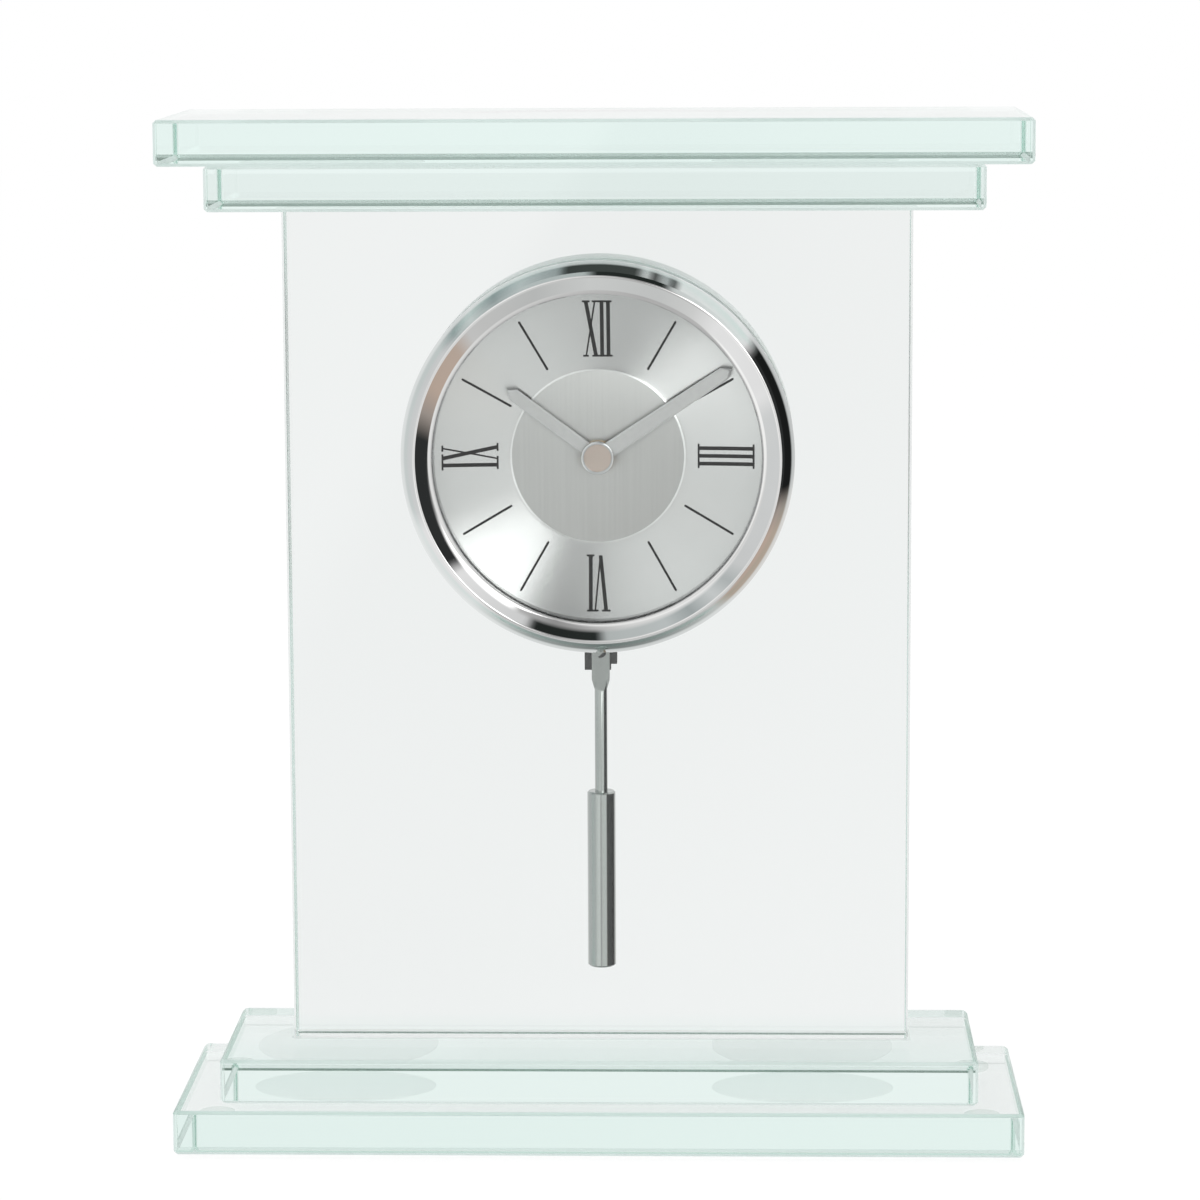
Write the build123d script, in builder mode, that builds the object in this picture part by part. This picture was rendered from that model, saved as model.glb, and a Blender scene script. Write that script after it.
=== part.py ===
"""Desk pendulum clock: glass case, chrome insert, quartz movement with its gear train, and pendulum.

Millimetres. +Z is up, the dial faces -Y, and the origin is on the table under the middle of the base.
Depths are Y values. The insert is built on planes parallel to the dial, centred on the hand arbor,
where a sketch's x runs to the right and its y runs up.
"""
import os
from math import cos, radians, sin, sqrt

from build123d import *

os.makedirs("parts", exist_ok=True)

# Glass case
slab_width = 190.0
slab_depth = 60.0
slab_thickness = 10.0
step_side = 10.0
step_depth = 6.0
slab_arris = 0.7
slab_corner_radius = 1.2
panel_width = 140.0
panel_height = 189.4
panel_thickness = 10.0
panel_arris = 0.5
bond_thickness = 0.2
bond_disc_radius = 20.6
bond_disc_left = -58.0
bond_disc_right = 46.0
bead_margin = 0.6
bead_corner_radius = 1.2
foot_radius = 4.0
foot_height = 1.0
foot_chamfer = 0.3
foot_inset = 9.0

# Size of the movement's case, which the whole insert is drawn round; its lengths are counted in this unit
case_size = 56.0
movement_unit = case_size / 56

# Insert: bezel, lens and dial
dial_margin = 11.8
bezel_overlap = 4.4
bezel_height = 5.7
bezel_side = 1.1
bezel_ridge_inset = 3.2
bezel_ridge_flat = 0.4
bezel_swell = 0.25
bezel_face_width = 6.3
bezel_lip = 0.8
bezel_tube_wall = 1.4
bezel_tube_length = 4.0
bezel_shell = 1.2
panel_hole_clearance = 0.4
gasket_thickness = 0.3
gasket_width = 3.1
lens_recess = 2.4
lens_thickness = 1.6
lens_chamfer = 0.2
case_clearance = 1.13
seat_clearance = 0.2
spacer_height = 2.6
spacer_wall = 1.6
dial_thickness = 0.6
dial_rim_width = 1.1
dial_dish_depth = 2.2
dial_dish_sag = 0.35
dial_flat_radius = 20.2 * movement_unit
centre_disc_radius = 19.7 * movement_unit
centre_disc_thickness = 0.5
centre_rim_width = 0.35
centre_rim_height = 0.25
mounting_ring_wall = 1.2
mounting_ring_length = 8.6
screw_inset = 2.5
screw_boss_radius = 3.2
screw_boss_length = 5.8

# Hands
hand_thickness = 0.45
hand_bevel_rise = 0.2
hand_bevel_slope = 60.0
hour_hand_length = 25.1 * movement_unit
hour_hand_width = 2.9
hour_hand_point = 1.7
hour_hand_angle = 306.7
minute_hand_length = 35.8 * movement_unit
minute_hand_root_width = 3.6
minute_hand_tip_width = 3.1
minute_hand_point = 1.9
minute_hand_angle = 56.4
hand_hub_radius = 3.3 * movement_unit
cap_radius = 3.7 * movement_unit
cap_height = 1.05
cap_rim = 0.65
cap_recess = 0.35
cap_chamfer = 0.2

# Movement case
case_corner_radius = 9.0 * movement_unit
case_depth = 15.5
case_split = 8.6
case_wall = 1.2
bush_radius = 3.0 * movement_unit
bush_length = 2.5
nut_radius = 3.6 * movement_unit
nut_thickness = 1.2
nut_slot = 0.8
post_radius = 1.6 * movement_unit
post_step = 0.6
post_places = [Vector(x, y) * movement_unit for x, y in ((-16.0, 6.0), (14.0, 8.0), (3.5, -12.2))]
plate_margin = 2.6 * movement_unit

# Nested arbors in the middle of the movement
hour_pipe_radius = 2.2 * movement_unit
minute_pipe_radius = 1.5 * movement_unit
seconds_arbor_radius = 0.7 * movement_unit
running_clearance = 0.1
hand_gap = 0.4

# Gear train
wheel_width = 0.7
motion_width = 1.0
pinion_extra = 0.1
layer_gap = 0.4
plate_thickness = 0.8
pivot_radius = 0.35 * movement_unit
pivot_clearance = 0.05
arbor_radius = 0.5 * movement_unit
wheel_addendum = 0.95
wheel_dedendum = 1.25
wheel_tooth_root = 0.9
wheel_tooth_tip = 0.35
pinion_addendum = 0.8
pinion_dedendum = 1.35
pinion_tooth_root = 0.6
pinion_tooth_tip = 0.35
motion_distance = 6.0 * movement_unit
motion_direction = -25.0
third_distance = 7.2 * movement_unit
third_direction = 35.0
intermediate_distance = 5.76 * movement_unit
intermediate_direction = 200.0
rotor_distance = 5.6 * movement_unit
rotor_direction = 205.0
cannon_teeth = 12
motion_wheel_teeth = 36
motion_pinion_teeth = 10
hour_wheel_teeth = 40
centre_wheel_teeth = 64
third_wheel_teeth = 60
seconds_wheel_teeth = 40
intermediate_wheel_teeth = 48
leaf_teeth = 8
wheel_rim = 0.9 * movement_unit
wheel_spoke = 1.0 * movement_unit

# Stepping motor, board and cell
rotor_radius = 2.5 * movement_unit
rotor_thickness = 1.6
rotor_air_gap = 0.4
stator_thickness = 0.8
stator_head_radius = 4.4 * movement_unit
stator_arm_width = 3.4 * movement_unit
coil_radius = 3.5
coil_length = 14.0 * movement_unit
coil_flange = 0.8
coil_flange_rise = 0.6
coil_middle = -14.0 * movement_unit
coil_drop = 15.0 * movement_unit
coil_gap = 0.4
board_width = 15.0 * movement_unit
board_height = 11.5 * movement_unit
board_thickness = 0.8
board_left = 8.6 * movement_unit
board_bottom = -24.0 * movement_unit
chip_radius = 2.4 * movement_unit
crystal_radius = 1.0
crystal_length = 6.0 * movement_unit
cell_radius = 5.25 * movement_unit
cell_length = 44.5 * movement_unit
cell_nub_radius = 1.9 * movement_unit
cell_nub_length = 0.8
cell_rise = 20.0 * movement_unit
cell_gap = 0.2
bay_gap = 0.5
cradle_offset = 12.0 * movement_unit
contact_thickness = 0.3
contact_width = 6.0 * movement_unit
contact_span = 8.0 * movement_unit
contact_room = 1.6

# Setting knob
knob_radius = 5.0 * movement_unit
knob_length = 5.0
knob_proud = 0.8
knob_shaft_radius = 1.5 * movement_unit
knob_pivot_radius = 0.6 * movement_unit
knob_flutes = 16
knob_flute_radius = 0.55 * movement_unit
knob_gap = 0.6

# Pendulum
pivot_drop = 8.0 * movement_unit
pivot_pin_radius = 0.75
pivot_hole_clearance = 0.07
arm_thickness = 3.2
arm_gap = 0.5
arm_web_width = 5.0
arm_boss_radius = 3.2
magnet_drop = 21.5 * movement_unit
magnet_radius = 3.0 * movement_unit
magnet_thickness = 2.0
magnet_rim = 1.2
drive_coil_radius = 4.8 * movement_unit
drive_coil_bore = 1.6 * movement_unit
drive_coil_length = 3.0
hanger_width = 7.4
hanger_gap = 1.2
hanger_height = 5.7
hanger_notch = 1.4
peg_inset = 1.3
peg_radius = 0.9
peg_head_radius = 1.3
peg_head_thickness = 0.6
swing_angle = 8.0
clip_radius = 2.0
clip_thickness = 0.4
tongue_width = 4.1
tongue_thickness = 1.2
tongue_neck = 2.1
tongue_taper = 4.0
rod_radius = 1.45
bob_radius = 3.25
bob_clearance = 13.7
bob_share = 0.6518
bob_socket = 10.0
bob_fit = 0.03
bob_chamfer = 0.35

# Drum and battery door
drum_wall = 1.6
drum_back_gap = 0.9
drum_chamfer = 0.9
pillar_radius = 3.0
screw_radius = 1.2
screw_head_radius = 2.3
screw_head_height = 1.5
screw_clearance = 0.2
screw_drive = 0.8
door_width = 53.8 * movement_unit
door_height = 18.0 * movement_unit
door_thickness = 1.6
door_gap = 0.3
door_pin_radius = 0.45
door_pin_length = 1.0
door_notch_radius = 3.5 * movement_unit
door_bottom = 12.0 * movement_unit

# Heights of the case, from the table up
lower_slab_bottom = foot_height
lower_slab_top = lower_slab_bottom + slab_thickness
upper_slab_bottom = lower_slab_top + bond_thickness
upper_slab_top = upper_slab_bottom + slab_thickness
panel_bottom = upper_slab_top + bond_thickness
panel_top = panel_bottom + panel_height
cornice_bottom = panel_top + bond_thickness
cornice_middle = cornice_bottom + slab_thickness
cornice_top_bottom = cornice_middle + bond_thickness
step_width = slab_width - 2 * step_side
step_slab_depth = slab_depth - 2 * step_depth

# Radii of the insert, from the corners of the movement's case outward
case_reach = (case_size / 2 - case_corner_radius) * sqrt(2) + case_corner_radius
mounting_ring_bore = case_reach + case_clearance
insert_bore_radius = mounting_ring_bore + mounting_ring_wall
bezel_radius = insert_bore_radius + bezel_tube_wall + bezel_overlap
bezel_ridge_radius = bezel_radius - bezel_ridge_inset
bezel_inner_radius = bezel_radius - bezel_face_width
screw_circle_radius = mounting_ring_bore - screw_inset
drum_radius = bezel_radius
dial_height = panel_top - dial_margin - bezel_radius

# Drops of the pendulum's parts below the hand arbor
hanger_top = drum_radius + hanger_gap
hanger_bottom = hanger_top + hanger_height
peg_drop = hanger_top + peg_inset
tongue_shoulder = hanger_bottom + tongue_neck
tongue_tip = tongue_shoulder + tongue_taper
bob_bottom = dial_height - panel_bottom - bob_clearance
bob_length = bob_share * (bob_bottom - tongue_tip)
bob_top = bob_bottom - bob_length

# Depths of the insert, from the front back
panel_front = -panel_thickness / 2
panel_back = panel_thickness / 2
bezel_back = panel_front - gasket_thickness
bezel_front = bezel_back - bezel_height
lens_front = bezel_front + lens_recess
lens_back = lens_front + lens_thickness
dial_rim_front = lens_back + spacer_height
dial_front = dial_rim_front + dial_dish_depth
dial_back = dial_front + dial_thickness
disc_front = dial_front - centre_disc_thickness
bezel_tube_back = bezel_tube_length
bezel_tube_radius = insert_bore_radius + bezel_tube_wall
panel_hole_radius = bezel_tube_radius + panel_hole_clearance
lens_radius = insert_bore_radius - seat_clearance
dial_visible_radius = insert_bore_radius - spacer_wall
bezel_lip_radius = bezel_inner_radius - bezel_lip
gasket_inner_radius = panel_hole_radius + seat_clearance
ring_front = dial_rim_front + dial_thickness
ring_back = ring_front + mounting_ring_length

# Depths of the movement
case_front = dial_back
case_floor = case_front + case_wall
case_back = case_front + case_depth
case_joint = case_front + case_split
case_ceiling = case_back - case_wall
hour_layer = case_floor + layer_gap
motion_layer = hour_layer + motion_width + layer_gap
centre_layer = motion_layer + motion_width + layer_gap
middle_plate_front = centre_layer + wheel_width + layer_gap
middle_plate_back = middle_plate_front + plate_thickness
third_layer = middle_plate_back + layer_gap
seconds_layer = third_layer + wheel_width + layer_gap
intermediate_layer = seconds_layer + wheel_width + layer_gap
rotor_front = intermediate_layer + wheel_width + layer_gap
stator_front = rotor_front + (rotor_thickness - stator_thickness) / 2
bridge_front = rotor_front + rotor_thickness + layer_gap
bridge_back = bridge_front + plate_thickness
bush_front = disc_front - nut_thickness - hand_gap / 2
hour_hand_front = bush_front - hand_gap / 2 - hand_thickness
minute_hand_front = hour_hand_front - hand_gap - hand_thickness
cap_front = minute_hand_front - cap_height
arm_front = case_back + arm_gap
arm_back = arm_front + arm_thickness
clip_front = arm_back + layer_gap / 2
drum_inside = arm_back + drum_back_gap
drum_back = drum_inside + drum_wall
drum_front = panel_back + gasket_thickness
rod_depth = arm_front - tongue_thickness / 2


def dial_plane(depth):
    """A plane parallel to the dial at a depth, facing the front, centred on the hand arbor."""
    return Plane(origin=(0, depth, dial_height), x_dir=(1, 0, 0), z_dir=(0, -1, 0))


def hand_plane(depth, angle):
    """The dial plane with its x turned to point along a hand, clockwise from twelve."""
    along = (sin(radians(angle)), 0, cos(radians(angle)))
    return Plane(origin=(0, depth, dial_height), x_dir=along, z_dir=(0, -1, 0))


def polar(distance, direction):
    """The point at a distance and a direction, in degrees, from the hand arbor."""
    return (distance * cos(radians(direction)), distance * sin(radians(direction)))


def finish(part, name):
    """Labels a finished piece and writes it to its file."""
    part.label = name
    export_step(part, f"parts/{name}.step")


def mesh_phase(teeth, phase, direction, next_teeth):
    """The turn of a gear's first tooth that sets its gap over the tooth of the gear before it."""
    fraction = (direction - phase) / (360 / teeth)
    return direction + 180 + (fraction + 0.5) * 360 / next_teeth


def teeth_outline(teeth, module, phase, addendum, dedendum, root, tip):
    """Draws a gear's outline, tapered teeth joined by straight floors, into the sketch that is open."""
    root_radius = module * (teeth / 2 - dedendum)
    tip_radius = module * (teeth / 2 + addendum)
    corners = ((root_radius, -root), (tip_radius, -tip), (tip_radius, tip), (root_radius, root))
    points = []
    for tooth in range(teeth):
        turn = radians(phase + tooth * 360 / teeth)
        for radius, half in corners:
            side = half * module
            points.append((radius * cos(turn) - side * sin(turn), radius * sin(turn) + side * cos(turn)))
    Polygon(*points, align=None)


def wheel_outline(teeth, module, phase):
    """Draws a wheel's outline: many teeth, broad at the root."""
    teeth_outline(teeth, module, phase, wheel_addendum, wheel_dedendum, wheel_tooth_root, wheel_tooth_tip)


def pinion_outline(teeth, module, phase):
    """Draws a pinion's outline: few slim leaves."""
    teeth_outline(
        teeth, module, phase, pinion_addendum, pinion_dedendum, pinion_tooth_root, pinion_tooth_tip
    )


def wheel_windows(teeth, module, hub_radius):
    """Draws the three windows between the spokes of a wheel."""
    outer = module * (teeth / 2 - wheel_dedendum) - wheel_rim
    inner = hub_radius + wheel_rim
    with BuildSketch(mode=Mode.PRIVATE) as window:
        Circle(outer)
        Circle(inner, mode=Mode.SUBTRACT)
        with PolarLocations(outer / 2, 3):
            Rectangle(2 * outer, wheel_spoke, mode=Mode.SUBTRACT)
    add(window.sketch, mode=Mode.SUBTRACT)


# Gear places and modules
motion_place = polar(motion_distance, motion_direction)
knob_place = polar(2 * motion_distance, motion_direction)
third_place = polar(third_distance, third_direction)
intermediate_place = polar(intermediate_distance, intermediate_direction)
rotor_step = polar(rotor_distance, rotor_direction)
rotor_place = (intermediate_place[0] + rotor_step[0], intermediate_place[1] + rotor_step[1])
motion_module = 2 * motion_distance / (cannon_teeth + motion_wheel_teeth)
hour_module = 2 * motion_distance / (motion_pinion_teeth + hour_wheel_teeth)
centre_module = 2 * third_distance / (centre_wheel_teeth + leaf_teeth)
third_module = 2 * third_distance / (third_wheel_teeth + leaf_teeth)
seconds_module = 2 * intermediate_distance / (seconds_wheel_teeth + leaf_teeth)
intermediate_module = 2 * rotor_distance / (intermediate_wheel_teeth + leaf_teeth)
motion_wheel_phase = mesh_phase(cannon_teeth, 0, motion_direction, motion_wheel_teeth)
motion_pinion_phase = mesh_phase(hour_wheel_teeth, 0, motion_direction, motion_pinion_teeth)
knob_phase = mesh_phase(motion_wheel_teeth, motion_wheel_phase, motion_direction, cannon_teeth)
third_pinion_phase = mesh_phase(centre_wheel_teeth, 0, third_direction, leaf_teeth)
third_wheel_phase = mesh_phase(leaf_teeth, 0, third_direction, third_wheel_teeth)
intermediate_pinion_phase = mesh_phase(seconds_wheel_teeth, 0, intermediate_direction, leaf_teeth)
rotor_pinion_phase = mesh_phase(intermediate_wheel_teeth, 0, rotor_direction, leaf_teeth)


# Glass slabs: the same ground plate, wide or narrow, on four levels
def glass_slab(name, width, depth, bottom):
    """One slab with rounded corners and a ground arris round both faces."""
    with BuildPart() as slab:
        with BuildSketch(Plane.XY.offset(bottom)):
            RectangleRounded(width, depth, slab_corner_radius)
        extrude(amount=slab_thickness)
        rims = slab.faces().filter_by(Axis.Z).edges()
        chamfer(rims, slab_arris)
    finish(slab.part, name)


glass_slab("base_lower_slab", slab_width, slab_depth, lower_slab_bottom)
glass_slab("base_upper_slab", step_width, step_slab_depth, upper_slab_bottom)
glass_slab("cornice_lower_slab", step_width, step_slab_depth, cornice_bottom)
glass_slab("cornice_upper_slab", slab_width, slab_depth, cornice_top_bottom)


def bond_discs(name, bottom):
    """The two round adhesive discs between a pair of slabs."""
    with BuildPart() as discs:
        with BuildSketch(Plane.XY.offset(bottom)):
            with Locations((bond_disc_left, 0), (bond_disc_right, 0)):
                Circle(bond_disc_radius)
        extrude(amount=bond_thickness)
    finish(discs.part, name)


bond_discs("base_bond_discs", lower_slab_top)
bond_discs("cornice_bond_discs", cornice_middle)


def panel_bond(name, bottom):
    """The adhesive film under an end of the panel, with the thin bead squeezed out round it."""
    with BuildPart() as film:
        with BuildSketch(Plane.XY.offset(bottom)):
            RectangleRounded(
                panel_width + 2 * bead_margin, panel_thickness + 2 * bead_margin, bead_corner_radius
            )
        extrude(amount=bond_thickness)
    finish(film.part, name)


panel_bond("panel_foot_bond", upper_slab_top)
panel_bond("panel_head_bond", panel_top)

# Clear bumper feet: one node, four alike
foot_x = slab_width / 2 - foot_inset
foot_y = slab_depth / 2 - foot_inset
with BuildPart() as bumper_feet:
    with BuildSketch(Plane.XY):
        with GridLocations(2 * foot_x, 2 * foot_y, 2, 2):
            Circle(foot_radius)
    extrude(amount=foot_height)
    chamfer(bumper_feet.faces().filter_by(Axis.Z).group_by(Axis.Z)[0].edges(), foot_chamfer)
finish(bumper_feet.part, "bumper_feet")

# Glass panel with the round hole for the insert
with BuildPart() as glass_panel:
    with BuildSketch(Plane.XY.offset(panel_bottom)):
        Rectangle(panel_width, panel_thickness)
    extrude(amount=panel_height)
    chamfer(glass_panel.faces().filter_by(Axis.Y).edges(), panel_arris)
    with BuildSketch(dial_plane(panel_front)):
        Circle(panel_hole_radius)
    extrude(amount=-panel_thickness, mode=Mode.SUBTRACT)
finish(glass_panel.part, "glass_panel")

# Chrome bezel: a hollow ridge ring over the panel, and a tube through the panel's hole.
# The profile lies in the level plane through the arbor: its x is the radius and its y the depth.
profile_plane = Plane(origin=(0, 0, dial_height), x_dir=(1, 0, 0), z_dir=(0, 0, 1))
arbor_axis = Axis((0, 0, dial_height), (0, 1, 0))
side_front = bezel_back - bezel_side
slope_middle = (bezel_radius + bezel_ridge_radius + bezel_ridge_flat) / 2
with BuildPart() as bezel:
    with BuildSketch(profile_plane):
        with BuildLine():
            Polyline((bezel_radius, bezel_back), (bezel_radius, side_front))
            ThreePointArc(
                (bezel_radius, side_front),
                (slope_middle + bezel_swell, (side_front + bezel_front) / 2 - bezel_swell),
                (bezel_ridge_radius + bezel_ridge_flat, bezel_front),
            )
            Polyline(
                (bezel_ridge_radius + bezel_ridge_flat, bezel_front),
                (bezel_ridge_radius - bezel_ridge_flat, bezel_front),
                (bezel_inner_radius, lens_front - bezel_lip),
                (bezel_lip_radius, lens_front - bezel_lip),
                (bezel_lip_radius, lens_front),
                (insert_bore_radius, lens_front),
                (insert_bore_radius, bezel_tube_back),
                (bezel_tube_radius, bezel_tube_back),
                (bezel_tube_radius, bezel_back - bezel_shell),
                (bezel_ridge_radius, bezel_front + 2 * bezel_shell),
                (bezel_radius - bezel_shell, side_front),
                (bezel_radius - bezel_shell, bezel_back),
                (bezel_radius, bezel_back),
            )
        make_face()
    revolve(axis=arbor_axis)
finish(bezel.part, "bezel")


def flat_ring(name, inner, outer, front, back):
    """A plain ring parallel to the dial."""
    with BuildPart() as ring:
        with BuildSketch(dial_plane(front)):
            Circle(outer)
            Circle(inner, mode=Mode.SUBTRACT)
        extrude(amount=front - back)
    finish(ring.part, name)


flat_ring("front_gasket", gasket_inner_radius, gasket_inner_radius + gasket_width, bezel_back, panel_front)
flat_ring("rear_gasket", gasket_inner_radius, gasket_inner_radius + gasket_width, panel_back, drum_front)
flat_ring("dial_spacer_ring", dial_visible_radius, lens_radius, lens_back, dial_rim_front)

# Flat mineral glass lens behind the bezel's lip
with BuildPart() as lens:
    with BuildSketch(dial_plane(lens_front)):
        Circle(lens_radius)
    extrude(amount=lens_front - lens_back)
    chamfer(lens.faces().filter_by(Axis.Y).edges(), lens_chamfer)
finish(lens.part, "lens")

# Dial: flat rim, dished chapter ring and flat middle, pressed from one sheet
rim_inner = lens_radius - dial_rim_width
dish_middle = (rim_inner + dial_flat_radius) / 2
dish_depth_middle = (dial_rim_front + dial_front) / 2 + dial_dish_sag
with BuildPart() as dial_plate:
    with BuildSketch(profile_plane):
        with BuildLine():
            Polyline((bush_radius, dial_front), (dial_flat_radius, dial_front))
            ThreePointArc(
                (dial_flat_radius, dial_front), (dish_middle, dish_depth_middle), (rim_inner, dial_rim_front)
            )
            Polyline(
                (rim_inner, dial_rim_front),
                (lens_radius, dial_rim_front),
                (lens_radius, dial_rim_front + dial_thickness),
                (rim_inner, dial_rim_front + dial_thickness),
            )
            ThreePointArc(
                (rim_inner, dial_rim_front + dial_thickness),
                (dish_middle, dish_depth_middle + dial_thickness),
                (dial_flat_radius, dial_back),
            )
            Polyline((dial_flat_radius, dial_back), (bush_radius, dial_back), (bush_radius, dial_front))
        make_face()
    revolve(axis=arbor_axis)
finish(dial_plate.part, "dial_plate")

# Brushed centre disc with its raised rim
with BuildPart() as centre_disc:
    with BuildSketch(dial_plane(disc_front)):
        Circle(centre_disc_radius)
        Circle(bush_radius, mode=Mode.SUBTRACT)
    extrude(amount=-centre_disc_thickness)
    with BuildSketch(dial_plane(disc_front)):
        Circle(centre_disc_radius)
        Circle(centre_disc_radius - centre_rim_width, mode=Mode.SUBTRACT)
    extrude(amount=centre_rim_height)
finish(centre_disc.part, "centre_disc")

# Mounting ring: screws into the bezel's bore, holds the dial and takes the three clamp screws
screw_angles = (0, 90, 180)
screw_places = [polar(screw_circle_radius, angle) for angle in screw_angles]
boss_back = panel_back
with BuildPart() as mounting_ring:
    with BuildSketch(dial_plane(ring_front)):
        Circle(insert_bore_radius)
        Circle(mounting_ring_bore, mode=Mode.SUBTRACT)
    extrude(amount=ring_front - ring_back)
    with BuildSketch(dial_plane(boss_back)):
        with Locations(*screw_places):
            Circle(screw_boss_radius)
    extrude(amount=screw_boss_length)
    with BuildSketch(dial_plane(boss_back)):
        with Locations(*screw_places):
            Circle(screw_radius)
    extrude(amount=screw_boss_length - case_wall, mode=Mode.SUBTRACT)
finish(mounting_ring.part, "mounting_ring")


# Hands
def hand(name, front, angle, length, root_width, tip_width, point, bore):
    """A bevelled baton with a pointed end, pressed on a pipe by its round hub."""
    turned = hand_plane(front, angle)
    shoulder = hand_plane(front + hand_bevel_rise, angle)
    with BuildPart() as baton:
        with BuildSketch(shoulder) as outline:
            Polygon(
                (0, -root_width / 2),
                (length - point, -tip_width / 2),
                (length, 0),
                (length - point, tip_width / 2),
                (0, root_width / 2),
                align=None,
            )
        extrude(amount=hand_bevel_rise - hand_thickness)
        extrude(outline.sketch, amount=hand_bevel_rise, taper=hand_bevel_slope)
        with BuildSketch(shoulder):
            Circle(hand_hub_radius)
        extrude(amount=hand_bevel_rise - hand_thickness)
        with BuildSketch(turned):
            Circle(bore)
        extrude(amount=-hand_thickness, mode=Mode.SUBTRACT)
    finish(baton.part, name)


hand(
    "hour_hand",
    hour_hand_front,
    hour_hand_angle,
    hour_hand_length,
    hour_hand_width,
    hour_hand_width,
    hour_hand_point,
    hour_pipe_radius,
)
hand(
    "minute_hand",
    minute_hand_front,
    minute_hand_angle,
    minute_hand_length,
    minute_hand_root_width,
    minute_hand_tip_width,
    minute_hand_point,
    minute_pipe_radius,
)

# Chrome cap over the minute pipe's end, with a shallow recessed face
pipe_front = cap_front + cap_height / 2
with BuildPart() as hand_cap:
    with BuildSketch(dial_plane(cap_front)):
        Circle(cap_radius)
    extrude(amount=-cap_height)
    chamfer(hand_cap.faces().sort_by(Axis.Y)[0].edges(), cap_chamfer)
    with BuildSketch(dial_plane(cap_front)):
        Circle(cap_radius - cap_rim)
    extrude(amount=-cap_recess, mode=Mode.SUBTRACT)
    with BuildSketch(dial_plane(minute_hand_front)):
        Circle(minute_pipe_radius)
    extrude(amount=minute_hand_front - pipe_front, mode=Mode.SUBTRACT)
finish(hand_cap.part, "hand_cap")

# Round slotted nut that clamps the dial to the movement's bush
with BuildPart() as bush_nut:
    with BuildSketch(dial_plane(disc_front)):
        Circle(nut_radius)
        Circle(bush_radius, mode=Mode.SUBTRACT)
    extrude(amount=nut_thickness)
    with BuildSketch(dial_plane(disc_front - nut_thickness)):
        Rectangle(2 * nut_radius, nut_slot)
    extrude(amount=-nut_thickness / 2, mode=Mode.SUBTRACT)
finish(bush_nut.part, "bush_nut")

# Movement front case: tray with the bush, the posts for the plates, and bearing bosses
case_inside = case_size - 2 * case_wall
mid_wall_size = case_size - case_wall
mid_wall_radius = case_corner_radius - case_wall / 2
partition_top = cell_rise - cell_radius - bay_gap
bay_end = cell_length / 2 + contact_room
bay_middle = (partition_top + case_inside / 2) / 2
bay_height = case_inside / 2 - partition_top
cell_depth = (case_floor + case_back) / 2
cell_plane = Plane(
    origin=(-cell_length / 2, cell_depth, dial_height + cell_rise), x_dir=(0, 1, 0), z_dir=(1, 0, 0)
)
board_posts = [
    (board_left + board_width - post_radius, board_bottom + post_radius),
    (board_left + board_width - post_radius, board_bottom + board_height - post_radius),
    (board_left + post_radius, board_bottom + post_radius),
]
boss_radius = pivot_radius + pivot_clearance + 2 * arbor_radius
third_boss_back = centre_layer - layer_gap
knob_boss_back = motion_layer - layer_gap
with BuildPart() as movement_front_case:
    with BuildSketch(dial_plane(case_front)):
        RectangleRounded(case_size, case_size, case_corner_radius)
    extrude(amount=-case_split)
    with BuildSketch(dial_plane(case_floor)):
        RectangleRounded(case_inside, case_inside, case_corner_radius - case_wall)
    extrude(amount=case_floor - case_joint, mode=Mode.SUBTRACT)
    with BuildSketch(dial_plane(case_floor)):
        with Locations((0, partition_top - case_wall / 2)):
            Rectangle(case_inside, case_wall)
        for side in (-1, 1):
            with Locations((side * (bay_end + case_wall / 2), bay_middle)):
                Rectangle(case_wall, bay_height)
        RectangleRounded(mid_wall_size, mid_wall_size, mid_wall_radius, mode=Mode.INTERSECT)
    extrude(amount=case_floor - case_joint)
    with BuildSketch(dial_plane(case_floor)):
        with Locations((-cradle_offset, bay_middle), (cradle_offset, bay_middle)):
            Rectangle(case_wall, bay_height)
    extrude(amount=case_floor - cell_depth)
    with BuildSketch(cell_plane):
        Circle(cell_radius + cell_gap)
    extrude(amount=cell_length, mode=Mode.SUBTRACT)
    with BuildSketch(dial_plane(case_front)):
        Circle(bush_radius)
    extrude(amount=case_front - bush_front)
    with BuildSketch(dial_plane(bush_front)):
        Circle(hour_pipe_radius + running_clearance)
    extrude(amount=bush_front - case_floor, mode=Mode.SUBTRACT)
    for radius, back in (
        (post_radius, middle_plate_front),
        (post_radius - post_step, bridge_front),
        (post_radius - 2 * post_step, bridge_back),
    ):
        with BuildSketch(dial_plane(case_floor)):
            with Locations(*post_places):
                Circle(radius)
        extrude(amount=case_floor - back)
    with BuildSketch(dial_plane(case_floor)):
        with Locations(*board_posts):
            Circle(post_radius - post_step)
    extrude(amount=case_floor - bridge_front)
    with BuildSketch(dial_plane(case_floor)):
        with Locations(motion_place):
            Circle(arbor_radius)
    extrude(amount=case_floor - centre_layer + layer_gap / 2)
    for place, radius, back in (
        (third_place, pivot_radius + pivot_clearance, third_boss_back),
        (knob_place, knob_pivot_radius + pivot_clearance, knob_boss_back),
    ):
        with BuildSketch(dial_plane(case_floor)):
            with Locations(place):
                Circle(radius + 2 * arbor_radius)
        extrude(amount=case_floor - back)
        with BuildSketch(dial_plane(case_floor)):
            with Locations(place):
                Circle(radius)
        extrude(amount=case_floor - back, mode=Mode.SUBTRACT)
finish(movement_front_case.part, "movement_front_case")

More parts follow.
